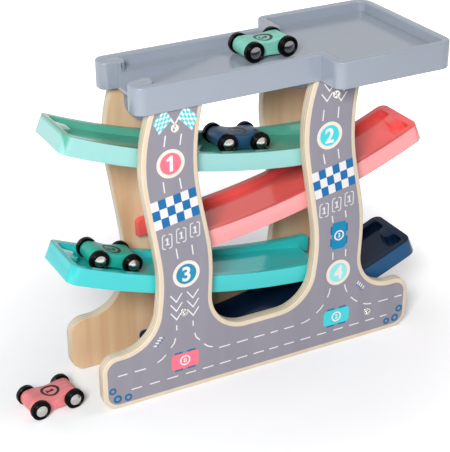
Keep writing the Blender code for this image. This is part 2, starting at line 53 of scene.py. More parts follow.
sharpAngle, flatAngle, straightAngle = math.radians(40), math.radians(0.05), math.radians(89.5)
channelHalf, panelOut = 0.0297, 0.0387  # the panels' two faces, from the middle
nodeSlot = {part["node"]: part["material_slot"] for part in frame["record"]["subparts"]}
spinJoints = {joint["name"]: joint for joint in frame["joints"]}
print("frame loaded, feet start at", round(footX, 4))


def addNode(tree, kind, place=(0, 0), **settings):
    node = tree.nodes.new(kind)
    node.location = place
    for key, value in settings.items():
        setattr(node, key, value)
    return node


def wire(tree, *pairs):
    for output, target in pairs:
        tree.links.new(output, target)


def calc(tree, place, operation, first, second=None):
    node = addNode(tree, "ShaderNodeMath", place, operation=operation)
    for socket, value in zip(node.inputs, (first, second)):
        if isinstance(value, bpy.types.NodeSocket):
            tree.links.new(value, socket)
        elif value is not None:
            socket.default_value = value
    return node.outputs[0]


def partsOf(tree, place, vector="Object"):
    # X, Y and Z of the place on the object, or of the direction that its face looks
    where = addNode(tree, "ShaderNodeTexCoord", place)
    parts = addNode(tree, "ShaderNodeSeparateXYZ", (place[0] + 200, place[1]))
    wire(tree, (where.outputs[vector], parts.inputs[0]))
    return parts.outputs


def blankMaterial(name):
    made = bpy.data.materials.new(name)
    made.use_nodes = True
    return made, made.node_tree, made.node_tree.nodes["Principled BSDF"]


def mixColours(tree, place, factor, first, second, blend="MIX"):
    mix = addNode(tree, "ShaderNodeMix", place, data_type="RGBA", blend_type=blend)
    for socket, value in ((mix.inputs[0], factor), (mix.inputs[6], first), (mix.inputs[7], second)):
        if isinstance(value, bpy.types.NodeSocket):
            tree.links.new(value, socket)
        elif isinstance(value, (tuple, list)):
            socket.default_value = (*value, 1.0)
        else:
            socket.default_value = value
    return mix.outputs[2]


def scaleRange(tree, place, value, low, high, fromLow=0.0, fromHigh=1.0):
    ranger = addNode(tree, "ShaderNodeMapRange", place)
    for number, amount in ((1, fromLow), (2, fromHigh), (3, low), (4, high)):
        ranger.inputs[number].default_value = amount
    tree.links.new(value, ranger.inputs[0])
    return ranger.outputs[0]


def fade(tree, place, value, start, end):
    # 0 up to the start, 1 from the end on
    return scaleRange(tree, place, value, 0.0, 1.0, start, end)


def noiseOn(tree, place, scale, stretch=(1, 1, 1), detail=3.0):
    where = addNode(tree, "ShaderNodeTexCoord", (place[0] - 400, place[1]))
    mapping = addNode(tree, "ShaderNodeMapping", (place[0] - 200, place[1]))
    mapping.inputs["Scale"].default_value = stretch
    noise = addNode(tree, "ShaderNodeTexNoise", place)
    noise.inputs["Scale"].default_value = scale
    noise.inputs["Detail"].default_value = detail
    wire(tree, (where.outputs["Object"], mapping.inputs["Vector"]),
         (mapping.outputs["Vector"], noise.inputs["Vector"]))
    return noise.outputs["Fac"]


def bumpFrom(tree, place, height, strength, distance):
    bump = addNode(tree, "ShaderNodeBump", place)
    bump.inputs["Strength"].default_value = strength
    bump.inputs["Distance"].default_value = distance
    tree.links.new(height, bump.inputs["Height"])
    return bump.outputs["Normal"]


def setFinish(tree, shader, tone, roughness, normal):
    wire(tree, (tone, shader.inputs["Base Color"]), (roughness, shader.inputs["Roughness"]),
         (normal, shader.inputs["Normal"]))


def darker(colour, share):
    return tuple(c * share for c in colour)


def glossyPlastic(name, look, surface):
    made, tree, shader = blankMaterial(name)
    cloud = fade(tree, (-500, 200), noiseOn(tree, (-700, 200), *surface["cloud"]), *midNoise)
    tone = mixColours(tree, (-300, 200), cloud, darker(look["colour"], surface["dark"]), look["colour"])
    if "inside" in look:
        # a ramp's channel gets a darker, deeper colour than its outer faces and its nose: painted shade inside the
        # channel
        parts = partsOf(tree, (-1400, 500))
        across = calc(tree, (-1000, 600), "ABSOLUTE", parts["Y"])
        fromMiddle = calc(tree, (-1000, 400), "SUBTRACT", parts["X"], footX + paintedChannelShade["middle"])
        along = calc(tree, (-800, 400), "ABSOLUTE", fromMiddle)
        outer = calc(tree, (-350, 500), "MAXIMUM",
                     fade(tree, (-600, 600), across, *paintedChannelShade["across"]),
                     fade(tree, (-600, 400), along, *paintedChannelShade["along"]))
        tone = mixColours(tree, (-150, 300), outer, look["inside"], tone)
    gloss = [look["gloss"] + drift for drift in surface["drift"]]
    ripple = noiseOn(tree, (-700, -100), *surface["ripple"])
    waves = noiseOn(tree, (-700, -350), *surface["waves"])
    setFinish(tree, shader, tone, scaleRange(tree, (-300, -100), ripple, *gloss, *midNoise),
              bumpFrom(tree, (-300, -350), waves, *surface["bump"]))
    shader.inputs["Specular IOR Level"].default_value = look["shine"]
    return made


def birchPly(name, look):
    made, tree, shader = blankMaterial(name)
    parts, facing = partsOf(tree, (-1600, 500)), partsOf(tree, (-1600, 250), "Normal")
    # a layer every so many millimetres of the thickness, seen on the sawn edge
    plies = calc(tree, (-1200, 500), "MULTIPLY", parts["Y"], 2 * math.pi / look["ply"])
    layers = fade(tree, (-800, 500), calc(tree, (-1000, 500), "SINE", plies), *look["layers"])
    fleck = scaleRange(tree, (-600, 250), noiseOn(tree, (-800, 250), *look["fleck"]), *look["flecks"])
    edgeTone = mixColours(tree, (-600, 450), layers, look["edgeDark"], look["edgePale"])
    edgeTone = mixColours(tree, (-400, 400), fleck, edgeTone, look["edgeDark"])
    # long grain on the two broad faces, paler on the outer faces; the inner faces' warmer, darker tone is bare
    # birch with the interior's shade painted in
    depth = calc(tree, (-1200, 750), "ABSOLUTE", parts["Y"])
    outside = fade(tree, (-1000, 750), depth, *(panelOut - skin for skin in look["skin"]))
    streak = noiseOn(tree, (-800, 0), *look["streak"])
    grain = fade(tree, (-600, 0), streak, *look["grain"])
    patch = scaleRange(tree, (-600, -200), noiseOn(tree, (-800, -200), *look["patch"]), *look["patches"])
    innerShadedTone = mixColours(tree, (-400, 0), grain, look["innerShadedDark"], look["innerShadedPale"])
    innerShadedTone = mixColours(tree, (-200, 0), patch, innerShadedTone, look["innerShadedDark"])
    outerTone = mixColours(tree, (-400, 200), grain, look["outerDark"], look["outerPale"])
    faceTone = mixColours(tree, (-100, 100), outside, innerShadedTone, outerTone)
    side = calc(tree, (-1200, 250), "ABSOLUTE", facing["Y"])
    onFace = fade(tree, (-1000, 250), side, *look["faceTurn"])
    setFinish(tree, shader, mixColours(tree, (0, 200), onFace, edgeTone, faceTone),
              scaleRange(tree, (-300, -250), streak, *look["gloss"], *midNoise),
              bumpFrom(tree, (-300, -420), noiseOn(tree, (-800, -420), *look["pores"]), *look["bump"]))
    return made


def grainedFinish(name, colour, look, **own):
    # streaks of a darker tone; the gloss and the relief follow them, or a wear and pores of their own
    look = look | own
    made, tree, shader = blankMaterial(name)
    shader.inputs["Metallic"].default_value = look["metal"]
    shader.inputs["Specular IOR Level"].default_value = look["shine"]
    streak = noiseOn(tree, (-700, 0), *look["streak"])
    wear = noiseOn(tree, (-700, 250), *look["wear"]) if "wear" in look else streak
    pores = noiseOn(tree, (-700, -300), *look["pores"]) if "pores" in look else streak
    grain = fade(tree, (-500, 100), streak, *look["grain"])
    setFinish(tree, shader, mixColours(tree, (-300, 100), grain, darker(colour, look["dark"]), colour),
              scaleRange(tree, (-300, -100), wear, *look["gloss"], *midNoise),
              bumpFrom(tree, (-300, -300), pores, *look["bump"]))
    return made


# Each noise is (scale, stretch, detail), and each bump is (strength, distance).
evenly = (1.0, 1.0, 1.0)
midNoise = (0.3, 0.7)  # the range that most of a noise lies in
inkSurface = {"streak": (70, (1.0, 1.0, 0.06), 5.0), "grain": (0.4, 0.65), "dark": 0.94,
              "gloss": (0.37, 0.48), "pores": (1500, (1.0, 1.0, 0.08)), "bump": (0.12, 0.0002),
              "shine": 0.15, "metal": 0.0}
paintedWood = {"streak": (260, (0.10, 1.0, 1.0), 5.0), "grain": (0.35, 0.65), "dark": 0.84, "wear": (45,),
               "gloss": (0.30, 0.44), "bump": (0.22, 0.0003), "shine": 0.28, "metal": 0.0}
turnedMetal = {"streak": (900, evenly, 4.0), "grain": midNoise, "dark": 0.9, "bump": (0.08, 0.0001),
               "shine": 0.5, "metal": 1.0}
# hardly any colour drift, faint waviness, a clear shine
mouldedSurface = {"cloud": (14, evenly, 4.0), "dark": 0.975, "ripple": (40, evenly, 1.0),
                  "drift": (-0.02, 0.03), "waves": (70, evenly, 1.0), "bump": (0.10, 0.0006)}
# the middle of the ramps, and where their painted channel shade ends across and along, from that middle
paintedChannelShade = {"middle": 0.1455, "across": (0.0262, 0.0275), "along": (0.1600, 0.1612)}
# each ramp's inside colour is painted shade: its channel is drawn darker and deeper than its lit outer faces
plasticLooks = {
    "mint_plastic": {"colour": (0.300, 0.63, 0.60), "inside": (0.10, 0.42, 0.31),
                     "gloss": 0.14, "shine": 0.45},
    "coral_plastic": {"colour": (0.97, 0.370, 0.375), "inside": (0.92, 0.125, 0.115),
                      "gloss": 0.14, "shine": 0.40},
    "teal_plastic": {"colour": (0.06, 0.60, 0.61), "inside": (0.035, 0.58, 0.57),
                     "gloss": 0.14, "shine": 0.35},
    "navy_plastic": {"colour": (0.016, 0.088, 0.210), "inside": (0.003, 0.013, 0.038),
                     "gloss": 0.15, "shine": 0.14},
    "deck_plastic": {"colour": (0.315, 0.352, 0.415), "gloss": 0.17, "shine": 0.40},
    "wheel_black": {"colour": (0.003, 0.003, 0.0035), "gloss": 0.20, "shine": 0.07},
}
# ply is one layer's thickness, layers is where its dark line fades, and skin is how far in from the outer face its
# paler tone reaches
plyLook = {"ply": 0.0026, "layers": (-1.0, -0.35), "skin": (0.002, 0.0005), "faceTurn": (0.55, 0.8),
           "fleck": (900, (0.35, 1.6, 0.35)), "flecks": (0.0, 0.35, 0.45, 0.75),
           "streak": (70, (1.0, 1.0, 0.06), 6.0), "grain": (0.35, 0.68),
           "patch": (9, (1.0, 1.0, 0.25)), "patches": (0.0, 0.35, 0.4, 0.7),
           "pores": (1500, (1.0, 1.0, 0.08)), "bump": (0.25, 0.0003), "gloss": (0.42, 0.58),
           "edgePale": (0.72, 0.62, 0.485), "edgeDark": (0.50, 0.38, 0.25),
           "outerPale": (0.76, 0.64, 0.49), "outerDark": (0.70, 0.575, 0.43),
           # the inner tones are partly painted shade: bare birch made warmer and darker like the toy's shaded
           # interior
           "innerShadedPale": (0.79, 0.57, 0.375), "innerShadedDark": (0.64, 0.40, 0.23)}
paintColours = {"car_mint_paint": (0.22, 0.61, 0.49), "car_navy_paint": (0.018, 0.080, 0.165),
                "car_teal_paint": (0.018, 0.44, 0.35), "car_pink_paint": (0.83, 0.235, 0.245)}

finishes = {name: glossyPlastic(name + "_finish", look, mouldedSurface)
            for name, look in plasticLooks.items()}
finishes["birch_plywood"] = birchPly("birch_plywood_finish", plyLook)
finishes["birch_dowel"] = grainedFinish("birch_dowel_finish", (0.78, 0.60, 0.41), paintedWood, dark=0.88,
                                        streak=(260, (1.0, 0.10, 1.0), 5.0))
for name, colour in paintColours.items():
    finishes[name] = grainedFinish(name + "_finish", colour, paintedWood)
for name, colour, gloss in (("axle_steel", (0.58, 0.565, 0.55), (0.15, 0.27)),
                            ("screw_steel", (0.62, 0.62, 0.61), (0.13, 0.25))):
    finishes[name] = grainedFinish(name + "_finish", colour, turnedMetal, gloss=gloss)
print("finishes ready:", len(finishes))


def roundedOutline(corners, steps):
    # corners are (a, b, radius); each becomes a true arc, with one step for so many degrees
    points = []
    for i, (a, b, radius) in enumerate(corners):
        here = Vector((a, b))
        back = (Vector(corners[i - 1][:2]) - here).normalized()
        ahead = (Vector(corners[(i + 1) % len(corners)][:2]) - here).normalized()
        half = back.angle(ahead) / 2
        if radius == 0 or half > straightAngle:
            points.append(here)
            continue
        centre = here + (back + ahead).normalized() * (radius / math.sin(half))
        start = here + back * (radius / math.tan(half)) - centre
        turn = math.pi - 2 * half
        sign = -1 if back.cross(ahead) > 0 else 1
        count = max(2, math.ceil(math.degrees(turn) / steps))
        for k in range(count + 1):
            points.append(centre + Matrix.Rotation(sign * turn * k / count, 2) @ start)
    return points


def newObject(name, data):
    made = bpy.data.objects.new(name, data)
    bpy.context.scene.collection.objects.link(made)
    return made


def asPiece(name, work):
    bmesh.ops.recalc_face_normals(work, faces=work.faces)
    mesh = bpy.data.meshes.new(name)
    work.to_mesh(mesh)
    work.free()
    return newObject(name, mesh)


def prism(name, outline, low, high, along="z"):
    spot = {"z": lambda p, t: (p[0], p[1], t), "y": lambda p, t: (p[0], t, p[1])}[along]
    work = bmesh.new()
    face = work.faces.new([work.verts.new(spot(p, low)) for p in outline])
    pushed = bmesh.ops.extrude_face_region(work, geom=[face])
    moved = [item for item in pushed["geom"] if isinstance(item, bmesh.types.BMVert)]
    bmesh.ops.translate(work, verts=moved, vec=Vector(spot((0, 0), high)) - Vector(spot((0, 0), low)))
    return asPiece(name, work)


def turned(name, profile, sides, place=None):
    # spun about Y; the profile is (radius, distance along the axle), a ring where it starts off the axle
    work = bmesh.new()
    ring = [work.verts.new((r, y, 0)) for r, y in profile]
    edges = [work.edges.new(pair) for pair in zip(ring, ring[1:])]
    if profile[0][0] > 0:
        edges.append(work.edges.new((ring[-1], ring[0])))
    bmesh.ops.spin(work, geom=ring + edges, cent=(0, 0, 0), axis=(0, 1, 0), dvec=(0, 0, 0),
                   angle=2 * math.pi, steps=sides, use_merge=True)
    bmesh.ops.remove_doubles(work, verts=work.verts, dist=fineWeld)
    if place:
        bmesh.ops.transform(work, matrix=place, verts=work.verts)
    return asPiece(name, work)


def evaluated(piece):
    bpy.context.view_layer.update()
    return bpy.data.meshes.new_from_object(piece.evaluated_get(bpy.context.evaluated_depsgraph_get()))


def combine(target, tool, operation="DIFFERENCE"):
    step = target.modifiers.new(operation, "BOOLEAN")
    step.operation = operation
    step.solver = "EXACT"
    step.object = tool
    mesh = evaluated(target)
    target.modifiers.clear()
    target.data = mesh
    bpy.data.objects.remove(tool)
    work = bmesh.new()
    work.from_mesh(mesh)
    bmesh.ops.remove_doubles(work, verts=work.verts, dist=weld)
    bmesh.ops.dissolve_degenerate(work, edges=work.edges, dist=weld)
    bmesh.ops.dissolve_limit(work, angle_limit=flatAngle, verts=work.verts, edges=work.edges,
                             delimit={"NORMAL"})
    work.to_mesh(mesh)
    work.free()


def joined(name, pieces):
    # several loose shapes as one, so that they cut in one go
    work = bmesh.new()
    for piece in pieces:
        work.from_mesh(piece.data)
        bpy.data.objects.remove(piece)
    return asPiece(name, work)


def softenEdges(piece, test, width, segments):
    work = bmesh.new()
    work.from_mesh(piece.data)
    sharp = [edge for edge in work.edges if edge.is_manifold and edge.calc_face_angle() > sharpAngle
             and test(edge.verts[0].co, edge.verts[1].co)]
    bmesh.ops.bevel(work, geom=sharp, offset=width, segments=segments, profile=0.5, affect="EDGES",
                    clamp_overlap=True)
    work.to_mesh(piece.data)
    work.free()


def onPlane(axis, value):
    # holds for an edge that lies at one height along an axis
    return lambda p, q: max(abs(p[axis] - value), abs(q[axis] - value)) < weld


def dress(piece, body, slotName, nodes=(), finish=None, smoothBelow=32, shift=True):
    # the last step for every solid piece: into place, smooth, finished, riding on its body
    mesh = piece.data
    if shift:
        mesh.transform(Matrix.Translation((footX, 0, 0)))
    mesh.shade_smooth()
    mesh.set_sharp_from_angle(angle=math.radians(smoothBelow))
    mesh.materials.clear()
    mesh.materials.append(finish or finishes[slotName])
    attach(piece, body)
    if nodes:
        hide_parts(*nodes)
    return piece


def startTree(name, sizes):
    # a tree that takes a mesh, its sizes and a finish, and gives a mesh
    tree = bpy.data.node_groups.new(name, "GeometryNodeTree")
    tree.interface.new_socket("Geometry", in_out="INPUT", socket_type="NodeSocketGeometry")
    for key, value in sizes.items():
        kind = "NodeSocketInt" if isinstance(value, int) else "NodeSocketFloat"
        tree.interface.new_socket(key, in_out="INPUT", socket_type=kind).default_value = value
    tree.interface.new_socket("finish", in_out="INPUT", socket_type="NodeSocketMaterial")
    tree.interface.new_socket("Geometry", in_out="OUTPUT", socket_type="NodeSocketGeometry")
    return tree, addNode(tree, "NodeGroupInput", (-1600, 0)).outputs


def endTree(tree, place, shape, finish):
    real = addNode(tree, "GeometryNodeRealizeInstances", place)
    painted = addNode(tree, "GeometryNodeSetMaterial", (place[0] + 200, place[1]))
    result = addNode(tree, "NodeGroupOutput", (place[0] + 400, place[1]))
    wire(tree, (shape, real.inputs[0]), (real.outputs[0], painted.inputs["Geometry"]),
         (finish, painted.inputs["Material"]), (painted.outputs[0], result.inputs[0]))
    return tree


def applyTree(piece, tree, values):
    # sets each named input by its identifier, then keeps the plain mesh
    step = piece.modifiers.new(tree.name, "NODES")
    step.node_group = tree
    for item in tree.interface.items_tree:
        if item.item_type == "SOCKET" and item.in_out == "INPUT" and item.name in values:
            step[item.identifier] = values[item.name]
    mesh = evaluated(piece)
    piece.modifiers.clear()
    piece.data = mesh


# Flat printed shapes, in millimetres. On the panels x starts at the left end of the feet,
# and z at printFoot above the floor.
printFoot = 4.0


def shrunkBy(outline, inset):
    # moves a dense outline inwards by the same amount all round
    area = sum(a.x * b.y - b.x * a.y for a, b in zip(outline, outline[1:] + outline[:1])) / 2
    inside = 1 if area > 0 else -1
    moved = []
    for i, here in enumerate(outline):
        before = (here - outline[i - 1]).normalized()
        after = (outline[(i + 1) % len(outline)] - here).normalized()
        normal = Vector((-(before.y + after.y), before.x + after.x)).normalized() * inside
        lean = max(0.3, normal.dot(Vector((-before.y, before.x)) * inside))  # no spike at a sharp corner
        moved.append(here + normal * (inset / lean))
    return moved


def disc(x, z, radius, sides=48):
    turns = (2 * math.pi * k / sides for k in range(sides))
    return [Vector((x + radius * math.cos(turn), z + radius * math.sin(turn))) for turn in turns]


def stroke(points, width):
    # a line of even width along a few points
    points = [Vector(point) for point in points]
    left, right = [], []
    for i, here in enumerate(points):
        before = (here - points[i - 1]).normalized() if i else None
        after = (points[i + 1] - here).normalized() if i + 1 < len(points) else None
        way = (before or after) if not (before and after) else (before + after).normalized()
        normal = Vector((-way.y, way.x))
        lean = normal.dot(Vector((-(after or way).y, (after or way).x)))
        left.append(here + normal * (width / 2 / lean))
        right.append(here - normal * (width / 2 / lean))
    return left + right[::-1]


def roundedBox(x, z, halfX, halfZ, radius, steps=15):
    return roundedOutline([(x - halfX, z - halfZ, radius), (x + halfX, z - halfZ, radius),
                           (x + halfX, z + halfZ, radius), (x - halfX, z + halfZ, radius)], steps)


def oneShape(x, z, high, foot, half=0.11):
    # a plain 1 with a flag and maybe a foot; half is the stem's half width for a height of 1
    left, right = 0.04 - half, 0.04 + half
    corners = [(right, 0.5), (right - 0.16, 0.5), (left - 0.22, 0.30), (left - 0.14, 0.15), (left, 0.24)]
    if foot:
        corners += [(left, -0.36), (left - 0.18, -0.36), (left - 0.18, -0.5), (right + 0.17, -0.5),
                    (right + 0.17, -0.36), (right, -0.36)]
    else:
        corners += [(left, -0.5), (right, -0.5)]
    return [Vector((x + a * high, z + b * high)) for a, b in corners]


def inkMesh(outlines, thick):
    # closed flat shapes; one inside another is a hole
    curve = bpy.data.curves.new("inkShape", "CURVE")
    curve.dimensions = "2D"
    curve.fill_mode = "BOTH"
    curve.extrude = thick / 2
    for outline in outlines:
        spline = curve.splines.new("POLY")
        spline.points.add(len(outline) - 1)
        for point, (x, z) in zip(spline.points, outline):
            point.co = (x / 1000, z / 1000, 0, 1)
        spline.use_cyclic_u = True
    return asMesh("inkShape", curve)


def asMesh(name, curve):
    shape = newObject(name, curve)
    mesh = evaluated(shape)
    bpy.data.objects.remove(shape)
    return mesh


def numberMesh(text, size, boldness, thick):
    letters = bpy.data.curves.new("number", "FONT")
    letters.body = text
    letters.size = size / 1000
    letters.offset = boldness / 1000
    letters.extrude = thick / 2
    letters.resolution_u = 6
    mesh = asMesh("number", letters)
    xs = [v.co.x for v in mesh.vertices]
    ys = [v.co.y for v in mesh.vertices]
    mesh.transform(Matrix.Translation((-(min(xs) + max(xs)) / 2, -(min(ys) + max(ys)) / 2, 0)))
    return mesh


# The four ramps are drawn flat, low end at 0, and bent on one true arc each.
rampLook = {
    "length": 0.2576, "half": 0.0277, "wall": 0.006, "height": 0.015, "depth": 0.0057, "floor": 0.0024,
    "shell": 0.0022, "topRound": 0.0013, "lowRound": 0.0005, "noseWall": 0.006, "noseCorner": 0.008,
    "nosePocket": 0.004, "tailCorner": 0.0052, "tailTip": 0.0022, "tailMouth": 0.0115, "dipStart": 0.050,
    "dipDrop": 0.0040, "bumpLength": 0.0088, "bumpWidth": 0.013, "bumpFlare": 0.0085, "bumpRadius": 0.0045,
    "arcRadius": 0.639, "endSlope": math.radians(1.11), "middle": 0.1455, "tailReach": 0.0836,
    "topTail": 0.1736, "pitch": 0.0548, "stations": 60, "arcStep": 8,  # arcStep: degrees for one facet
    "pinX": (0.071, 0.2156), "pinHeight": 0.0075, "pinRadius": 0.003, "pinLength": 0.004, "collar": 0.0048,
    "pinSides": 36, "lowSegments": 2, "topSegments": 3,
}
ramps = [("ramp_1_mint", -1, 0), ("ramp_2_coral", 1, 1), ("ramp_3_teal", -1, 2), ("ramp_4_navy", 1, 3)]


def arcCentre(look, way, tier):
    tailX = look["middle"] - way * look["tailReach"]
    tailZ = look["topTail"] - tier * look["pitch"]
    return (tailX - way * look["arcRadius"] * math.sin(look["endSlope"]),
            tailZ + look["arcRadius"] * math.cos(look["endSlope"]))


def flatRamp(name, look, way):
    length, height, half, shell = look["length"], look["height"], look["half"], look["shell"]
    inside, floorTop, step = half - look["wall"], look["height"] - look["depth"], look["arcStep"]
    tip, mouth = look["tailTip"], look["tailMouth"]
    dipAt = lambda along: look["dipDrop"] * (look["dipStart"] - along) / (look["dipStart"] - mouth)
    side = roundedOutline([(0, 0, 0), (length, 0, look["topRound"]), (length, height, 0),
                           (0, height, look["tailCorner"])], step)
    body = prism(name, side, -half, half, "y")
    plan = roundedOutline([(mouth, -inside, 0), (0, -inside, tip), (0, -half, tip),
                           (length, -half, look["noseCorner"]), (length, half, look["noseCorner"]),
                           (0, half, tip), (0, inside, tip), (mouth, inside, 0)], step)
    combine(body, prism("plan", plan, -over, height + over), "INTERSECT")
    softenEdges(body, onPlane(2, 0), look["lowRound"], look["lowSegments"])

    nose = length - look["noseWall"]
    bump, wide, flare = nose - look["bumpLength"], look["bumpWidth"] / 2, look["bumpFlare"]
    pocket = roundedOutline([(-over, -inside, 0), (nose, -inside, look["nosePocket"]),
                             (nose, -flare, look["bumpRadius"] / 2), (bump, -wide, look["bumpRadius"]),
                             (bump, wide, look["bumpRadius"]), (nose, flare, look["bumpRadius"] / 2),
                             (nose, inside, look["nosePocket"]), (-over, inside, 0)], step)
    combine(body, prism("pocket", pocket, floorTop, height + over))
    softenEdges(body, onPlane(2, height), look["topRound"], look["topSegments"])
    clear = floorTop + look["depth"] / 2
    dip = [(0, floorTop - dipAt(0)), (look["dipStart"], floorTop), (look["dipStart"], clear), (0, clear)]
    combine(body, prism("dip", dip, -inside, inside, "y"))

    under, start, end = floorTop - look["floor"], mouth + shell, length - shell
    recess = prism("recess", [(start, -over), (end, -over), (end, under), (look["dipStart"], under),
                              (start, under - dipAt(start))], -(half - shell), half - shell, "y")
    corner = look["noseCorner"] - shell
    shape = roundedOutline([(start - over, shell - half, 0), (end, shell - half, corner),
                            (end, half - shell, corner), (start - over, half - shell, 0)], step)
    combine(recess, prism("recessPlan", shape, -2 * over, height), "INTERSECT")
    combine(body, recess)

    # pins with collars, where the walls cross the panels' uprights
    root, out = half - shell / 2, channelHalf - gap
    profile = [(0, root), (look["collar"], root), (look["collar"], out), (look["pinRadius"], out),
               (look["pinRadius"], channelHalf + look["pinLength"]), (0, channelHalf + look["pinLength"])]
    centreX = arcCentre(look, way, 0)[0]
    for x in look["pinX"]:
        slope = math.asin(way * (x - centreX) / (look["arcRadius"] - look["pinHeight"]))
        along = (slope - look["endSlope"]) * look["arcRadius"]
        for turn in (0, math.pi):
            place = Matrix.Translation((along, 0, look["pinHeight"])) @ Matrix.Rotation(turn, 4, "Z")
            combine(body, turned("pin", profile, look["pinSides"], place), "UNION")
    sliceAlong(body, 0, length, look["stations"])
    return body


def sliceAlong(piece, low, high, count, axis=(1, 0, 0)):
    # more rows of points, so that the shape can follow a curve
    work = bmesh.new()
    work.from_mesh(piece.data)
    for k in range(1, count):
        place = Vector(axis) * (low + (high - low) * k / count)
        bmesh.ops.bisect_plane(work, geom=work.verts[:] + work.edges[:] + work.faces[:], dist=weld,
                               plane_co=place, plane_no=axis)
    work.to_mesh(piece.data)
    work.free()


def bendOnArc():
    # bends a flat ramp up a true arc, and mirrors it where its way is -1
    sizes = ("radius", "endSlope", "centreX", "centreZ", "way")
    tree, given = startTree("bendOnArc", dict.fromkeys(sizes, 0.0))
    spot = addNode(tree, "ShaderNodeSeparateXYZ", (-1200, 300))
    wire(tree, (addNode(tree, "GeometryNodeInputPosition", (-1400, 300)).outputs[0], spot.inputs[0]))
    turn = calc(tree, (-1000, 400), "DIVIDE", spot.outputs["X"], given["radius"])
    slope = calc(tree, (-800, 400), "ADD", turn, given["endSlope"])
    reach = calc(tree, (-1000, 200), "SUBTRACT", given["radius"], spot.outputs["Z"])
    ahead = calc(tree, (-600, 400), "MULTIPLY", reach, calc(tree, (-800, 550), "SINE", slope))
    across = calc(tree, (-400, 400), "MULTIPLY", ahead, given["way"])
    drop = calc(tree, (-600, 200), "MULTIPLY", reach, calc(tree, (-800, 200), "COSINE", slope))
    bent = addNode(tree, "ShaderNodeCombineXYZ", (0, 300))
    moved = addNode(tree, "GeometryNodeSetPosition", (200, 0))
    mirrored = addNode(tree, "FunctionNodeCompare", (200, -250), data_type="FLOAT", operation="LESS_THAN")
    flipped = addNode(tree, "GeometryNodeFlipFaces", (400, 0))
    wire(tree, (calc(tree, (-200, 400), "ADD", given["centreX"], across), bent.inputs["X"]),
         (spot.outputs["Y"], bent.inputs["Y"]),
         (calc(tree, (-200, 200), "SUBTRACT", given["centreZ"], drop), bent.inputs["Z"]),
         (given["Geometry"], moved.inputs["Geometry"]), (bent.outputs[0], moved.inputs["Position"]),
         (given["way"], mirrored.inputs[0]), (mirrored.outputs[0], flipped.inputs["Selection"]),
         (moved.outputs[0], flipped.inputs[0]))
    return endTree(tree, (600, 0), flipped.outputs[0], given["finish"])


bendTree = bendOnArc()
for node, way, tier in ramps:
    piece = flatRamp("fine_" + node, rampLook, way)
    centreX, centreZ = arcCentre(rampLook, way, tier)
    applyTree(piece, bendTree, {"radius": rampLook["arcRadius"], "endSlope": rampLook["endSlope"],
                                "centreX": centreX, "centreZ": centreZ, "way": float(way),
                                "finish": finishes[nodeSlot[node]]})
    dress(piece, "frame", nodeSlot[node], [node])
print("ramps bent:", len(ramps))

# The top deck: a sunk track and tray inside a rim, a dipping lane to the mouth, four screw tabs below.
deckLook = {
    "top": 0.274, "skirt": 0.0219, "wall": 0.0022, "floor": 0.0025, "topRound": 0.0011,
    "rimWidth": 0.0069, "rimDepth": 0.0087, "left": 0.037, "step": 0.197, "right": 0.3081,
    "trackHalf": 0.0412, "trayHalf": 0.0668, "trackCorner": 0.009, "trayCorner": 0.013,
    "innerCorner": 0.005, "trayInner": 0.0058, "mouthHalf": 0.022, "mouthDepth": 0.013, "mouthCorner": 0.006,
    "laneHalf": 0.0197, "laneDrop": 0.0108, "laneStart": 0.135, "tongue": 0.0205, "tongueTip": 0.0045,
    "slit": 0.0023, "slitStart": 0.008, "arcStep": 7,
    "tabs": (0.058, 0.2026), "tabWidth": 0.032, "tabDrop": 0.0341, "tabThick": 0.003,
    "tabRounds": (0.020, 0.006), "tabScrew": 0.0115, "topSegments": 3,
}
# where the screws stand in each panel: two into the deck's tabs, two into the dowels
screwSpots = [(0.0695, 0.2365), (0.2141, 0.2365), (0.0740, 0.0740), (0.2535, 0.0240)]
seatLook = {"head": 0.0039, "rim": 0.0006, "slope": 0.0027, "bore": 0.0019, "deep": 0.0118, "proud": 0.001,
            "sides": 32}


def seatCutter(side, x, z, look=seatLook):
    # the countersunk hole of one screw, a gap larger than the screw all round
    turn = Matrix.Rotation(math.pi if side > 0 else 0, 4, "Z")
    head, bore = look["head"], look["bore"]
    profile = [(0, -look["proud"]), (head, -look["proud"]), (head, 0), (head, look["rim"]),
               (bore, look["slope"]), (bore, look["deep"]), (0, look["deep"])]
    return turned("seat", profile, look["sides"], Matrix.Translation((x, side * panelOut, z)) @ turn)


def mirrored(front):
    return front + [(x, -y, radius) for x, y, radius in reversed(front)]


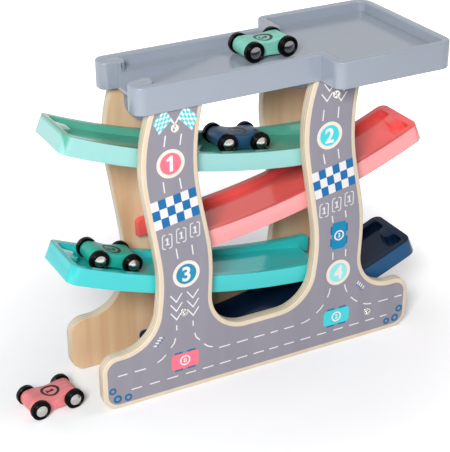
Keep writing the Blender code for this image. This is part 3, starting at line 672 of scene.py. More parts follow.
def buildDeck(look):
    step = look["arcStep"]
    mouthX = look["left"] + look["mouthDepth"]
    ledge = look["top"] - look["rimDepth"]
    under = ledge - look["floor"]
    skirtFoot = look["top"] - look["skirt"]

    def edge(inset):
        left, stepX, right = look["left"] + inset, look["step"] + inset, look["right"] - inset
        track, tray, mouth = look["trackHalf"] - inset, look["trayHalf"] - inset, look["mouthHalf"] + inset
        corners = ("mouthCorner", "trackCorner", "trackCorner", "trayCorner")
        rounds = [max(look[key] - inset, gap) for key in corners]
        return roundedOutline(mirrored([(mouthX + inset, -mouth, 0), (left, -mouth, rounds[0]),
                                        (left, -track, rounds[1]), (stepX, -track, 0),
                                        (stepX, -tray, rounds[2]), (right, -tray, rounds[3])]), step)

    deck = prism("fine_top_deck", edge(0), skirtFoot, look["top"])
    combine(deck, prism("hollow", edge(look["wall"]), skirtFoot - over, under))
    tip, slit = look["left"] + look["tongue"], look["left"] + look["slitStart"]
    track, tray = look["trackHalf"] - look["rimWidth"], look["trayHalf"] - look["rimWidth"]
    stepX, right = look["step"] + look["rimWidth"], look["right"] - look["rimWidth"]
    sunk = mirrored([(mouthX + over, -look["laneHalf"], 0), (tip, -look["laneHalf"], look["tongueTip"]),
                     (tip, look["slit"] - track, look["tongueTip"]), (slit, look["slit"] - track, 0),
                     (slit, -track, 0), (stepX, -track, 0), (stepX, -tray, look["innerCorner"]),
                     (right, -tray, look["trayInner"])])
    combine(deck, prism("sunk", roundedOutline(sunk, step), ledge, look["top"] + over))

    half, wall, start = look["laneHalf"], look["wall"], look["laneStart"]
    laneAt = lambda x: ledge - look["laneDrop"] * (start - x) / (start - mouthX)
    run, out = mouthX + wall / 2, look["left"] - over
    trough = [(run, laneAt(run) - wall), (start, ledge - wall), (start, ledge - wall / 2),
              (run, ledge - wall / 2)]
    combine(deck, prism("trough", trough, -half - wall, half + wall, "y"), "UNION")
    lane = [(out, laneAt(out)), (start, ledge), (start, look["top"]), (out, look["top"] + over)]
    combine(deck, prism("lane", lane, -half, half, "y"))
    softenEdges(deck, onPlane(2, look["top"]), look["topRound"], look["topSegments"])

    tabs = []
    for left in look["tabs"]:
        for side in (-1, 1):
            face = side * (channelHalf - gap)
            back = face - side * look["tabThick"]
            low, top, wide = skirtFoot - look["tabDrop"], under + look["floor"] / 2, left + look["tabWidth"]
            shape = roundedOutline([(left, top, 0), (left, low, look["tabRounds"][0]),
                                    (wide, low, look["tabRounds"][1]), (wide, top, 0)], step)
            tab = prism("tab", shape, min(face, back), max(face, back), "y")
            combine(tab, seatCutter(side, left + look["tabScrew"], screwSpots[0][1]))
            tabs.append(tab)
    combine(deck, joined("tabs", tabs), "UNION")
    return dress(deck, "frame", "deck_plastic", ["top_deck"])


buildDeck(deckLook)
print("deck made")

# The two plywood panels, cut from one wavy outline.
panelLook = {
    "round": 0.0012, "segments": 3, "arcStep": 3, "pinHole": 0.0033, "pinDepth": 0.0043, "pinSides": 36,
    "pitch": 144.6, "base": 45.4, "length": 295.5, "footRadius": 14.0,
    # the corners of one upright's edges, each x, z, radius in mm, from the left side's top and back up
    "leftEdge": [(52.48, 258.5, 0), (37.2, 212.0, 137), (54.15, 102.2, 140), (46.4, 45.4, 32)],
    "rightEdge": [(98.1, 45.4, 32), (101.7, 117.1, 165), (85.0, 203.9, 190), (95.92, 258.5, 0)],
}
dowelLook = {"radius": 0.006, "endRound": 0.0004, "screwHole": 0.0019, "holeDepth": 0.0025, "sides": 48}


def panelShape(look, steps):
    shift = lambda corners, dx: [(x + dx, z, radius) for x, z, radius in corners]
    spots = ((0, look["base"]), (0, -printFoot), (look["length"], -printFoot), (look["length"], look["base"]))
    foot = [(x, z, look["footRadius"]) for x, z in spots]
    return roundedOutline(look["leftEdge"] + foot + shift(look["rightEdge"], look["pitch"])
                          + shift(look["leftEdge"], look["pitch"]) + look["rightEdge"], steps)


def buildPanel(name, side, look):
    outline = [Vector((p.x / 1000, (p.y + printFoot) / 1000)) for p in panelShape(look, look["arcStep"])]
    inner, outer = side * channelHalf, side * panelOut
    panel = prism("fine_" + name, outline, min(inner, outer), max(inner, outer), "y")
    for face in (inner, outer):
        softenEdges(panel, onPlane(1, face), look["round"], look["segments"])
    cutters = [seatCutter(side, x, z) for x, z in screwSpots]
    depth, radius = look["pinDepth"], look["pinHole"]
    hole = [(0, -depth), (radius, -depth), (radius, depth), (0, depth)]
    for node, way, tier in ramps:
        centreX, centreZ = arcCentre(rampLook, way, tier)
        reach = rampLook["arcRadius"] - rampLook["pinHeight"]
        for x in rampLook["pinX"]:
            z = centreZ - math.sqrt(reach ** 2 - (x - centreX) ** 2)
            cutters.append(turned("hole", hole, look["pinSides"], Matrix.Translation((x, inner, z))))
    combine(panel, joined("holes", cutters))
    return dress(panel, "frame", "birch_plywood", [name])


def buildDowel(name, x, z, look):
    half, radius, hole, edge = channelHalf - gap, look["radius"], look["screwHole"], look["endRound"]
    holeEnd = -half + look["holeDepth"]
    end = [(0, holeEnd), (hole, holeEnd), (hole, -half), (radius - edge, -half), (radius, -half + edge)]
    profile = end + [(r, -y) for r, y in reversed(end)]
    dowel = turned("fine_" + name, profile, look["sides"], Matrix.Translation((x, 0, z)))
    dress(dowel, "frame", "birch_dowel", [name])


buildPanel("front_panel", -1, panelLook)
buildPanel("back_panel", 1, panelLook)
buildDowel("spacer_dowel_left", *screwSpots[2], dowelLook)
buildDowel("spacer_dowel_right", *screwSpots[3], dowelLook)
print("panels and dowels made")

# Countersunk screws with a cross recess, one tree for all eight.
screwLook = {"headRadius": 0.0036, "headDepth": 0.0024, "rimRound": 0.00035, "shankRadius": 0.0016,
             "shankLength": 0.0115, "slotLength": 0.0046, "slotWidth": 0.0012, "slotDepth": 0.0018, "seed": 7}
screwSides = 40


def screwsAtPoints(look):
    tree, given = startTree("screwsAtPoints", look)

    def cone(place, topRadius, lowRadius, depth, lift):
        # stands on the axis, its foot at the height asked for
        made = addNode(tree, "GeometryNodeMeshCone", place)
        made.inputs["Vertices"].default_value = screwSides
        raised = addNode(tree, "GeometryNodeTransform", (place[0] + 200, place[1]))
        offset = addNode(tree, "ShaderNodeCombineXYZ", (place[0], place[1] - 300))
        wire(tree, (topRadius, made.inputs["Radius Top"]), (lowRadius, made.inputs["Radius Bottom"]),
             (depth, made.inputs["Depth"]), (lift, offset.inputs["Z"]),
             (made.outputs["Mesh"], raised.inputs["Geometry"]),
             (offset.outputs[0], raised.inputs["Translation"]))
        return raised.outputs[0]

    sunk = calc(tree, (-1400, -600), "MULTIPLY", given["rimRound"], -1.0)
    headFoot = calc(tree, (-1400, -750), "MULTIPLY", given["headDepth"], -1.0)
    rimRadius = calc(tree, (-1400, -900), "SUBTRACT", given["headRadius"], given["rimRound"])
    rim = cone((-1200, 400), rimRadius, given["headRadius"], given["rimRound"], sunk)
    slope = cone((-1200, 0), given["headRadius"], given["shankRadius"],
                 calc(tree, (-1400, -1050), "SUBTRACT", given["headDepth"], given["rimRound"]), headFoot)
    shankDepth = calc(tree, (-1400, -1200), "SUBTRACT", given["shankLength"], given["headDepth"])
    shank = cone((-1200, -400), given["shankRadius"], given["shankRadius"], shankDepth,
                 calc(tree, (-1400, -1350), "MULTIPLY", given["shankLength"], -1.0))
    whole = addNode(tree, "GeometryNodeMeshBoolean", (-700, 200), operation="UNION", solver="EXACT")
    for part in (rim, slope, shank):
        tree.links.new(part, whole.inputs["Mesh 2"])
    cross = addNode(tree, "GeometryNodeMeshBoolean", (-400, 200), operation="DIFFERENCE", solver="EXACT")
    tree.links.new(whole.outputs[0], cross.inputs["Mesh 1"])
    twoDeep = calc(tree, (-1200, -900), "MULTIPLY", given["slotDepth"], 2.0)
    for k, (a, b) in enumerate((("slotLength", "slotWidth"), ("slotWidth", "slotLength"))):
        size = addNode(tree, "ShaderNodeCombineXYZ", (-900, -600 - 200 * k))
        bar = addNode(tree, "GeometryNodeMeshCube", (-700, -600 - 200 * k))
        wire(tree, (given[a], size.inputs["X"]), (given[b], size.inputs["Y"]), (twoDeep, size.inputs["Z"]),
             (size.outputs[0], bar.inputs["Size"]), (bar.outputs["Mesh"], cross.inputs["Mesh 2"]))

    # each one looks along its point's outward direction, turned by chance about its own axis
    outward = addNode(tree, "GeometryNodeInputNamedAttribute", (-900, 700), data_type="FLOAT_VECTOR")
    outward.inputs["Name"].default_value = "outward"
    facing = addNode(tree, "FunctionNodeAlignRotationToVector", (-700, 700), axis="Z")
    chance = addNode(tree, "FunctionNodeRandomValue", (-900, 950), data_type="FLOAT")
    chance.inputs[2].default_value, chance.inputs[3].default_value = 0.0, math.pi / 2
    about = addNode(tree, "FunctionNodeAxisAngleToRotation", (-700, 950))
    about.inputs["Axis"].default_value = (0, 0, 1)
    turnedBy = addNode(tree, "FunctionNodeRotateRotation", (-500, 800), rotation_space="LOCAL")
    placed = addNode(tree, "GeometryNodeInstanceOnPoints", (-100, 0))
    wire(tree, (outward.outputs[0], facing.inputs["Vector"]), (given["seed"], chance.inputs["Seed"]),
         (chance.outputs[1], about.inputs["Angle"]), (facing.outputs[0], turnedBy.inputs["Rotation"]),
         (about.outputs[0], turnedBy.inputs["Rotate By"]), (given["Geometry"], placed.inputs["Points"]),
         (cross.outputs[0], placed.inputs["Instance"]), (turnedBy.outputs[0], placed.inputs["Rotation"]))
    return endTree(tree, (100, 0), placed.outputs[0], given["finish"])


def pointsWithOutward(name, spots):
    mesh = bpy.data.meshes.new(name)
    mesh.from_pydata([spot for spot, _ in spots], [], [])
    outward = mesh.attributes.new("outward", "FLOAT_VECTOR", "POINT")
    for k, (_, way) in enumerate(spots):
        outward.data[k].vector = way
    return newObject(name, mesh)


screwNodes = sorted(node for node in frame["nodes"] if "_screw_" in node)
spots = [((x, side * (panelOut - gap), z), (0, side, 0)) for side in (-1, 1) for x, z in screwSpots]
screws = pointsWithOutward("fine_screws", spots)
applyTree(screws, screwsAtPoints(screwLook), {"finish": finishes["screw_steel"]})
dress(screws, "frame", "screw_steel", screwNodes)
print("screws placed:", len(spots))

# The four cars, placed by the two axles that the frame's spin joints give.
carLook = {
    "wheelbase": 0.0305, "wheelRadius": 0.0084, "wheelWidth": 0.0042, "shoulder": 0.0008, "width": 0.0310,
    "clearance": 0.0006, "halfHeight": 0.0069, "waist": 0.0053, "arch": 0.0063, "waistRadius": 0.025,
    "hump": 0.0115, "edgeRound": 0.0013, "axleRadius": 0.002, "hubRadius": 0.0048, "hubDome": 0.0015,
    "tyreEdge": 0.0003, "grooveFrom": 0.0063, "grooveTo": 0.0070, "grooveDepth": 0.0003, "hubSeat": 0.0003,
    "sides": 64, "boreSides": 32, "edgeSegments": 3, "arcStep": 6,
    "ringRadius": 0.0079, "ringWidth": 0.0023, "ringSides": 72,
    "inkRise": 0.00006, "inkThick": 0.00005, "numberSize": 9.5, "numberBold": 0.45, "inkStep": 0.0008,
    "oneHigh": 0.72, "oneBold": 0.15,  # a 1 is drawn by oneShape, at this share of the number's size
}
cars = {"car_mint": "3", "car_navy": "4", "car_teal": "2", "car_pink": "1"}
blackInk = grainedFinish("black_ink", (0.016, 0.015, 0.016), inkSurface, gloss=(0.31, 0.42))
hubFinishes = {"car_mint": grainedFinish("dark_chrome", (0.30, 0.30, 0.31), turnedMetal, gloss=(0.07, 0.19))}


def carPlace(name):
    # midway between the axles, with X ahead and Y along them
    rear, front = (spinJoints[f"{name}_{end}_wheels_spin"] for end in ("rear", "front"))
    rearAt, frontAt = Vector(rear["pos_m"]), Vector(front["pos_m"])
    ahead, across = (frontAt - rearAt).normalized(), Vector(rear["axis"]).normalized()
    place = Matrix((ahead, across, ahead.cross(across))).transposed().to_4x4()
    place.translation = (rearAt + frontAt) / 2
    return place


def bodyShape(look):
    def edge(waist):
        high, hump = look["halfHeight"], look["hump"]
        end = look["wheelbase"] / 2 + high
        return [(-end, high, high - gap), (-hump, high, hump), (0, waist, look["waistRadius"]),
                (hump, high, hump), (end, high, high - gap)]
    lower = [(a, -b, r) for a, b, r in reversed(edge(look["arch"]))]
    return roundedOutline(edge(look["waist"]) + lower, look["arcStep"])


def topAt(outline, x):
    # height of the body's upper edge
    upper = [(a, b) for a, b in zip(outline, outline[1:] + outline[:1]) if min(a.y, b.y) > 0]
    for a, b in upper:
        if min(a.x, b.x) <= x <= max(a.x, b.x) and abs(a.x - b.x) > 1e-9:
            return a.y + (b.y - a.y) * (x - a.x) / (b.x - a.x)
    return max(p.y for p in outline)


def onCarTop(name, text, look, outline, place):
    # a painted ring and number that follow the hollow of the top
    rim, width = look["ringRadius"] * 1000, look["ringWidth"] * 1000
    ring = [disc(0, 0, rim, look["ringSides"]), disc(0, 0, rim - width, look["ringSides"])]
    if text == "1":
        one = oneShape(0, 0, look["numberSize"] * look["oneHigh"], True, look["oneBold"])
        number = inkMesh([one], look["inkThick"])
    else:
        number = numberMesh(text, look["numberSize"], look["numberBold"], look["inkThick"])
    number.transform(Matrix.Rotation(-math.pi / 2, 4, "Z"))
    work = bmesh.new()
    for shape in (inkMesh(ring, look["inkThick"]), number):
        work.from_mesh(shape)
    piece = asPiece(f"{name}_number", work)
    reach = look["ringRadius"]
    sliceAlong(piece, -reach, reach, round(2 * reach / look["inkStep"]))
    for vert in piece.data.vertices:
        vert.co.z += topAt(outline, vert.co.x) + look["inkRise"]
    piece.data.transform(place)
    dress(piece, name, name + "_paint", finish=blackInk, shift=False)


def wheelProfile(look, bore):
    # from the bore's inner end, over the tread, to the sunk seat of the hub
    radius, shoulder, edge = look["wheelRadius"], look["shoulder"], look["tyreEdge"]
    outside = look["width"] / 2
    inside = outside - look["wheelWidth"]
    tread = [(bore, inside), (radius - edge, inside), (radius, inside + edge)]
    for turn in (math.radians(angle) for angle in (0, 22.5, 45, 67.5, 90)):
        tread.append((radius - shoulder + shoulder * math.cos(turn),
                      outside - shoulder + shoulder * math.sin(turn)))
    near, far, deep = look["grooveFrom"], look["grooveTo"], look["grooveDepth"]
    groove = [(far, outside), (far - deep, outside - deep), (near + deep, outside - deep), (near, outside)]
    hub, seat = look["hubRadius"], look["hubSeat"]
    return tread + groove + [(hub + 2 * seat, outside), (hub + seat, outside - seat), (bore, outside - seat)]


def axleProfile(look, domeSteps=9, rim=0.0002):
    # one domed head, the shaft, and the other head
    seat = look["width"] / 2 + gap
    hub, dome = look["hubRadius"], look["hubDome"]
    bend = (hub ** 2 + dome ** 2) / (2 * dome)
    crown = [(bend * math.sin(a), -seat - dome + bend * (1 - math.cos(a)))
             for a in (math.asin(hub / bend) * k / domeSteps for k in range(domeSteps))]
    head = crown + [(hub, -seat - rim / 2), (hub - rim, -seat), (look["axleRadius"], -seat)]
    return head + [(r, -y) for r, y in reversed(head)]


def buildCar(name, text, look):
    place = carPlace(name)
    half, base = look["width"] / 2, look["wheelbase"] / 2
    bodyHalf = half - look["wheelWidth"] - look["clearance"]
    outline = bodyShape(look)
    body = prism(f"fine_{name}_body", outline, -bodyHalf, bodyHalf, "y")
    for side in (-1, 1):
        softenEdges(body, onPlane(1, side * bodyHalf), look["edgeRound"], look["edgeSegments"])
    bore = look["axleRadius"] + gap
    hole = [(0, -half), (bore, -half), (bore, half), (0, half)]
    combine(body, joined("bores", [turned("bore", hole, look["boreSides"], Matrix.Translation((x, 0, 0)))
                                   for x in (-base, base)]))
    body.data.transform(place)
    dress(body, name, name + "_paint", [name + "_body"], shift=False)
    onCarTop(name, text, look, outline, place)

    wheel, axle = wheelProfile(look, bore), axleProfile(look)
    for end, x in (("rear", -base), ("front", base)):
        here = place @ Matrix.Translation((x, 0, 0))
        spin = f"{name}_{end}_wheels"
        dress(turned(f"fine_{name}_{end}_axle", axle, look["sides"], here), spin, "axle_steel",
              [f"{name}_{end}_axle"], finish=hubFinishes.get(name), shift=False)
        for hand, turn in (("near", math.pi), ("far", 0)):
            facing = here @ Matrix.Rotation(turn, 4, "Z")
            dress(turned(f"fine_{name}_{end}_wheel_{hand}", wheel, look["sides"], facing),
                  spin, "wheel_black", [f"{name}_{end}_wheel_{hand}"], shift=False)


for name, text in cars.items():
    buildCar(name, text, carLook)
print("cars made:", len(cars))

# The road print on the two outer faces.
printLook = {
    "rise": 0.00006, "thick": 0.00005, "lineWidth": 1.05, "edge": 4.0, "hole": 3.75, "oneHigh": 0.74,
    "footBelow": 10, "arcStep": 4, "holeSides": 40,
    "roadGrey": (0.300, 0.288, 0.335), "white": (0.86, 0.84, 0.84), "cream": (0.90, 0.80, 0.72),
    "pink": (0.93, 0.195, 0.265), "blue": (0.014, 0.160, 0.410), "deepBlue": (0.020, 0.150, 0.330),
    "teal": (0.022, 0.290, 0.455), "cyan": (0.070, 0.680, 0.735), "aqua": (0.330, 0.800, 0.800),
    "brightBlue": (0.006, 0.255, 0.480), "chalk": (0.78, 0.77, 0.79),
}
roadMarks = {
    # straight dashes: start, end
    "dashes": [
        (61.5, 228, 60, 219), (75, 227, 73.5, 218), (58.5, 190, 59.5, 180.5), (72.5, 190.5, 74, 181),
        (68, 130, 69.5, 120.5), (82, 130, 83, 121), (66.8, 60, 66.8, 55), (81.7, 60, 81.7, 55),
        (202.5, 221.5, 201.5, 212), (216.5, 221.5, 216, 212), (203, 182.5, 205, 173.5),
        (217, 184.5, 218.5, 175.5), (213.5, 124, 214.5, 117.5), (226.5, 126, 227.5, 119.5),
        (215.5, 89, 215.5, 82), (228.3, 89, 228.3, 82)],
    # the rows of dashes along the base: height, then where each starts and ends
    "rows": [(27, ((13, 21.5), (28, 38), (105.5, 116), (122.5, 133), (139, 149), (155, 162), (168.5, 178),
                   (265, 275), (282, 290))),
             (11, ((24.5, 34), (41, 50), (57, 67), (74, 83.5), (90, 100), (106, 116.5), (122.5, 132.5),
                   (138.5, 148.5), (154, 162.5), (168.5, 178.5), (185, 195), (202, 211), (218.5, 228.5),
                   (235, 245), (252, 261), (267.5, 274.5)))],
    # bent dashes at the junctions: start, middle, end
    "bends": [
        (65.5, 48, 64.2, 43.6, 61, 40), (83, 48, 84.3, 43.6, 87.5, 40), (56.5, 34.8, 53, 31.6, 48.5, 29.6),
        (91.5, 34.8, 95, 31.6, 99.5, 29.6), (214, 54.5, 213, 50, 211.3, 46),
        (228.5, 54.5, 229.6, 50, 231.4, 46),
        (207.5, 40, 204.5, 36.5, 200.5, 33.5), (235.5, 40, 238.6, 36.5, 242.5, 33.5),
        (185.5, 27.3, 189.8, 28, 194, 29.5), (248.8, 29.5, 253, 28, 257.5, 27.3)],
    "chevrons": [(67, 81.5), (82, 81.5), (67, 73), (82, 73), (67, 65), (82, 65),
                 (205, 228.3), (218.5, 226.5), (207.2, 236.7), (220.8, 234.7)],
    "bays": [(60.5, 138), (72.8, 140.7), (85, 142.8), (205.3, 131), (217.6, 133.7), (229.8, 136.3)],
    # short kerb stripes: middle, and their slant in degrees
    "kerbs": [(52.4, 52.1, -12), (50.7, 50.0, -12), (48.9, 48.0, -12), (47.1, 45.7, -12),
              (242.4, 52.4, 58), (244.2, 50.6, 58), (246.1, 48.6, 58), (248.0, 46.4, 58)],
    "tyres": [(8, 14, 3.0), (12, 5.5, 3.5), (21.5, 4.5, 3.2),
              (287.5, 14, 3.3), (283.5, 5.5, 3.5), (274.5, 4.5, 3.0)],
    "chequers": [((46.6, 174), (86, 180), (89.6, 155.6), (50.6, 149.4)),
                 ((192, 167), (231.4, 173.6), (235.6, 149.2), (197, 142.6))],
    "roundels": [("1", 65.2, 204, "pink"), ("3", 76.5, 105, "teal"), ("2", 208.5, 198, "cyan"),
                 ("4", 221.5, 68, "aqua")],
    # little cars: middle, half length, half width, turned upright, colour, wheels, number
    "cars": [(73.7, 24.4, 12.6, 7.4, False, "pink", "deepBlue", "0"),
             (221, 24.4, 13.0, 7.4, False, "cyan", "blue", "2"),
             (221, 104, 12.8, 7.0, True, "brightBlue", "deepBlue", "3")],
    "flags": [((69.5, 235.5), (61.0, 249.2), (51.4, 239.8), (56.2, 229.8), (67.6, 240.2)),
              ((69.5, 235.5), (78.8, 249.2), (89.0, 238.6), (84.0, 228.0), (72.2, 240.2))],
    # the sizes that these marks share
    "chevron": (5.2, 7.0), "bracketLine": 0.85, "bayNumber": 8.5,
    "bracket": ((1.3, 6.2), (3.2, 6.0), (4.1, 5.0), (4.1, -5.0), (3.2, -6.0), (1.3, -6.2)),
    "kerbHalf": 1.6, "kerbLine": 1.15, "kerbTail": (1.7, 3.2), "tailLine": 1.1,
    "tyreRing": (1.08, 0.48), "chequerCells": (6, 3), "flagCells": (5, 6), "flagPole": 1.3,
    "roundelRim": (12, 72), "roundelDisc": (9, 64), "roundelNumber": (17.5, 0.5),
    "carWheels": (-5.8, 6.0), "carWheel": (3.8, 1.1, 0.6), "wheelOut": 0.5, "carCorner": 3.0,
    "carRing": (4.8, 3.5), "carNumber": (5.6, 0.15),
}


class PrintedFace:
    # gathers each ink's shapes, layer over layer, on one outer face
    def __init__(self, name, side):
        self.name, self.side = name, side
        self.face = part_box(name)[0 if side < 0 else 1].y
        self.inks = {}

    def lay(self, mesh, ink, layer, x=0.0, z=0.0, readable=False):
        flip = Matrix.Diagonal((-1, 1, 1, 1)) if readable and self.side > 0 else Matrix.Identity(4)
        depth = self.face + self.side * (printLook["rise"] * (layer + 0.5))
        upright = Matrix(((1, 0, 0, x / 1000 + footX), (0, 0, self.side, depth),
                          (0, 1, 0, (z + printFoot) / 1000), (0, 0, 0, 1)))
        mesh.transform(upright @ flip)
        self.inks.setdefault(ink, bmesh.new()).from_mesh(mesh)
        bpy.data.meshes.remove(mesh)

    def shapes(self, outlines, ink, layer):
        self.lay(inkMesh(outlines, printLook["thick"]), ink, layer)

    def number(self, text, x, z, size, ink, layer, boldness=0.0):
        if text == "1":
            # the large 1 has no foot
            shape = oneShape(0, 0, size * printLook["oneHigh"], size < printLook["footBelow"])
            mesh = inkMesh([shape], printLook["thick"])
        else:
            mesh = numberMesh(text, size, boldness, printLook["thick"])
        self.lay(mesh, ink, layer, x, z, readable=True)

    def grid(self, corners, columns, rows, ink, layer, first):
        # every other cell of a chequered patch
        for row in range(rows):
            for column in range(columns):
                if (row + column) % 2 == first:
                    u, v, du, dv = column / columns, row / rows, 1 / columns, 1 / rows
                    self.shapes([[between(corners, u, v), between(corners, u + du, v),
                                  between(corners, u + du, v + dv), between(corners, u, v + dv)]], ink, layer)

    def finish(self, inkFinishes):
        for ink, work in sorted(self.inks.items()):
            bmesh.ops.remove_doubles(work, verts=work.verts, dist=fineWeld)
            piece = asPiece(f"{self.name}_{ink}_print", work)
            piece.data.materials.append(inkFinishes[ink])
            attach(piece, "frame")


def between(corners, u, v):
    top = Vector(corners[0]).lerp(Vector(corners[1]), u)
    bottom = Vector(corners[3]).lerp(Vector(corners[2]), u)
    return top.lerp(bottom, v)


def printRoad(face, marks, look):
    width = look["lineWidth"]
    road = shrunkBy(panelShape(panelLook, look["arcStep"]), look["edge"])
    holes = [disc(x * 1000, z * 1000 - printFoot, look["hole"], look["holeSides"]) for x, z in screwSpots]
    face.shapes([road] + holes, "roadGrey", 0)
    for x1, z1, x2, z2 in marks["dashes"]:
        face.shapes([stroke([(x1, z1), (x2, z2)], width)], "white", 1)
    for z, dashes in marks["rows"]:
        for start, end in dashes:
            face.shapes([stroke([(start, z), (end, z)], width)], "white", 1)
    for x1, z1, x2, z2, x3, z3 in marks["bends"]:
        face.shapes([stroke([(x1, z1), (x2, z2), (x3, z3)], width)], "white", 1)
    wide, high = marks["chevron"]
    for x, z in marks["chevrons"]:
        face.shapes([stroke([(x - wide, z + high), (x, z), (x + wide, z + high)], width)], "white", 1)
    for x, z in marks["bays"]:
        # a pair of brackets round a small number
        for way in (-1, 1):
            bracket = [(x + way * a, z + b) for a, b in marks["bracket"]]
            face.shapes([stroke(bracket, marks["bracketLine"])], "chalk", 1)
        face.number("1", x, z, marks["bayNumber"], "chalk", 1)
    for x, z, slant in marks["kerbs"]:
        # a white stripe with a blue tail at its lower end
        way = Vector((math.cos(math.radians(slant)), math.sin(math.radians(slant))))
        middle, half = Vector((x, z)), marks["kerbHalf"]
        face.shapes([stroke([middle - way * half, middle + way * half], marks["kerbLine"])], "white", 1)
        start, end = (-math.copysign(reach, slant) for reach in marks["kerbTail"])
        face.shapes([stroke([middle + way * start, middle + way * end], marks["tailLine"])], "blue", 1)
    for x, z, radius in marks["tyres"]:
        face.shapes([disc(x, z, radius * share) for share in marks["tyreRing"]], "deepBlue", 1)
    for corners in marks["chequers"]:
        face.shapes([[Vector(corner) for corner in corners]], "white", 1)
        face.grid(corners, *marks["chequerCells"], "blue", 2, 1)
    for text, x, z, ink in marks["roundels"]:
        face.shapes([disc(x, z, *marks["roundelRim"])], "cream", 1)
        face.shapes([disc(x, z, *marks["roundelDisc"])], ink, 2)
        size, boldness = marks["roundelNumber"]
        face.number(text, x, z, size, "white", 3, boldness)
    for car in marks["cars"]:
        printCar(face, marks, *car)
    for pole, *corners in marks["flags"]:
        face.shapes([stroke([pole, corners[0]], marks["flagPole"])], "white", 1)
        face.shapes([[Vector(corner) for corner in corners]], "white", 2)
        face.grid(corners, *marks["flagCells"], "cyan", 3, 0)


def printCar(face, marks, x, z, halfLong, halfWide, upright, ink, wheels, text):
    turn = (lambda a, b: (b, a)) if upright else (lambda a, b: (a, b))
    *wheelSize, wheelRound = marks["carWheel"]
    for a in marks["carWheels"]:
        for side in (-1, 1):
            wheelX, wheelZ = turn(a, side * (halfWide + marks["wheelOut"]))
            face.shapes([roundedBox(x + wheelX, z + wheelZ, *turn(*wheelSize), wheelRound)], wheels, 1)
    face.shapes([roundedBox(x, z, *turn(halfLong, halfWide), marks["carCorner"])], ink, 2)
    face.shapes([disc(x, z, radius) for radius in marks["carRing"]], "white", 3)
    size, boldness = marks["carNumber"]
    face.number(text, x, z, size, "white", 3, boldness)


inkFinishes = {ink: grainedFinish(ink + "_ink", colour, inkSurface)
               for ink, colour in printLook.items() if isinstance(colour, tuple)}
for name, side in (("front_panel", -1), ("back_panel", 1)):
    face = PrintedFace(name, side)
    printRoad(face, roadMarks, printLook)
    face.finish(inkFinishes)
print("road printed on both faces")

# The photograph's viewing place, soft studio light, pale floor.
cameraLook = {"lens": 107.378, "place": (-0.338730, -0.889945, 0.630481),
              "azimuth": -27.897, "elevation": 26.831, "roll": -0.411, "sensor": 36.0, "clipStart": 0.02}
lightLook = {
    # place, what it faces, size, power
    "frontLamp": ((-0.95, -1.20, 1.10), (0, 0, 0.12), 0.5, 30),
    "topLamp": ((0.62, -0.10, 1.45), (0, 0, 0.15), 0.45, 4),
    "backLamp": ((-1.05, 1.35, 0.70), (0, 0, 0.12), 1.2, 4.5),
    "skyLight": 0.20, "skySeen": 1.0,
    # what the camera sees the floor glow with, near the toy and far from it, and where it changes
    "floorColour": (0.92, 0.92, 0.935, 1), "nearGlow": 0.09, "farGlow": 1.0, "glowFrom": 0.12, "glowTo": 0.52,
    "floorHalf": 6, "floorRoughness": 0.9, "floorShine": 0.1,
}


def placeCamera(look):
    azimuth, elevation, roll = (math.radians(look[key]) for key in ("azimuth", "elevation", "roll"))
    back = Vector((math.sin(azimuth) * math.cos(elevation), -math.cos(azimuth) * math.cos(elevation),
                   math.sin(elevation)))
    right = (-back).cross(Vector((0, 0, 1))).normalized()
    up = right.cross(-back)
    turnedRight = right * math.cos(roll) + up * math.sin(roll)
    turnedUp = up * math.cos(roll) - right * math.sin(roll)
    data = bpy.data.cameras.new("photoCamera")
    data.lens = look["lens"]
    data.sensor_width = look["sensor"]
    data.clip_start = look["clipStart"]
    camera = newObject("photoCamera", data)
    x, y, z = look["place"]
    camera.matrix_world = Matrix((
        (turnedRight.x, turnedUp.x, back.x, x + footX),
        (turnedRight.y, turnedUp.y, back.y, y),
        (turnedRight.z, turnedUp.z, back.z, z),
        (0, 0, 0, 1)))
    bpy.context.scene.camera = camera


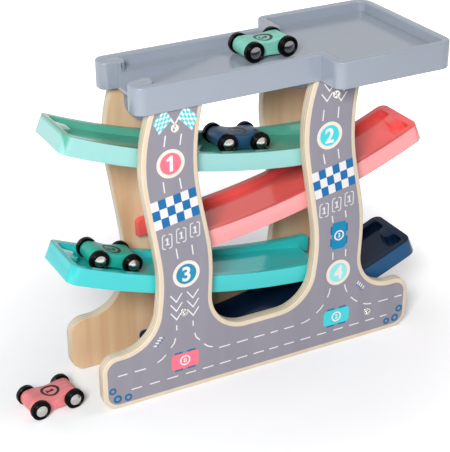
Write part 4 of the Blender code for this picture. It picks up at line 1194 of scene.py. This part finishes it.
def softLamp(name, place, target, size, power):
    data = bpy.data.lights.new(name, "AREA")
    data.shape = "SQUARE"
    data.size = size
    data.energy = power
    lamp = newObject(name, data)
    lamp.location = place
    lamp.rotation_euler = (Vector(target) - Vector(place)).to_track_quat("-Z", "Y").to_euler()


def seenOrMirrored(tree, place):
    # 1 for what the camera sees, straight or in a shine
    ray = addNode(tree, "ShaderNodeLightPath", place)
    return calc(tree, (place[0] + 200, place[1]), "MAXIMUM", ray.outputs["Is Camera Ray"],
                ray.outputs["Is Glossy Ray"])


def studio(look):
    for name in ("frontLamp", "topLamp", "backLamp"):
        softLamp(name, *look[name])
    world = bpy.data.worlds.new("paleStudio")
    bpy.context.scene.world = world
    world.use_nodes = True
    tree = world.node_tree
    back = tree.nodes["Background"]
    back.inputs["Color"].default_value = (1, 1, 1, 1)
    seen = seenOrMirrored(tree, (-700, 200))
    strength = scaleRange(tree, (-300, 0), seen, look["skyLight"], look["skySeen"])
    wire(tree, (strength, back.inputs["Strength"]))

    work = bmesh.new()
    bmesh.ops.create_grid(work, x_segments=1, y_segments=1, size=look["floorHalf"])
    mesh = bpy.data.meshes.new("paleFloor")
    work.to_mesh(mesh)
    work.free()
    floor = newObject("paleFloor", mesh)
    made, tree, shader = blankMaterial("paleFloor")
    shader.inputs["Base Color"].default_value = look["floorColour"]
    shader.inputs["Roughness"].default_value = look["floorRoughness"]
    shader.inputs["Specular IOR Level"].default_value = look["floorShine"]
    where = addNode(tree, "ShaderNodeTexCoord", (-900, -600))
    away = addNode(tree, "ShaderNodeVectorMath", (-700, -600), operation="LENGTH")
    wire(tree, (where.outputs["Object"], away.inputs[0]))
    glow = scaleRange(tree, (-500, -600), away.outputs["Value"], look["nearGlow"], look["farGlow"],
                      look["glowFrom"], look["glowTo"])
    glow.node.interpolation_type = "SMOOTHSTEP"
    shader.inputs["Emission Color"].default_value = (1, 1, 1, 1)
    wire(tree, (calc(tree, (-300, -300), "MULTIPLY", seenOrMirrored(tree, (-700, -300)), glow),
                shader.inputs["Emission Strength"]))
    mesh.materials.append(made)


placeCamera(cameraLook)
studio(lightLook)
bpy.context.scene.view_settings.view_transform = "Standard"
print("studio ready")
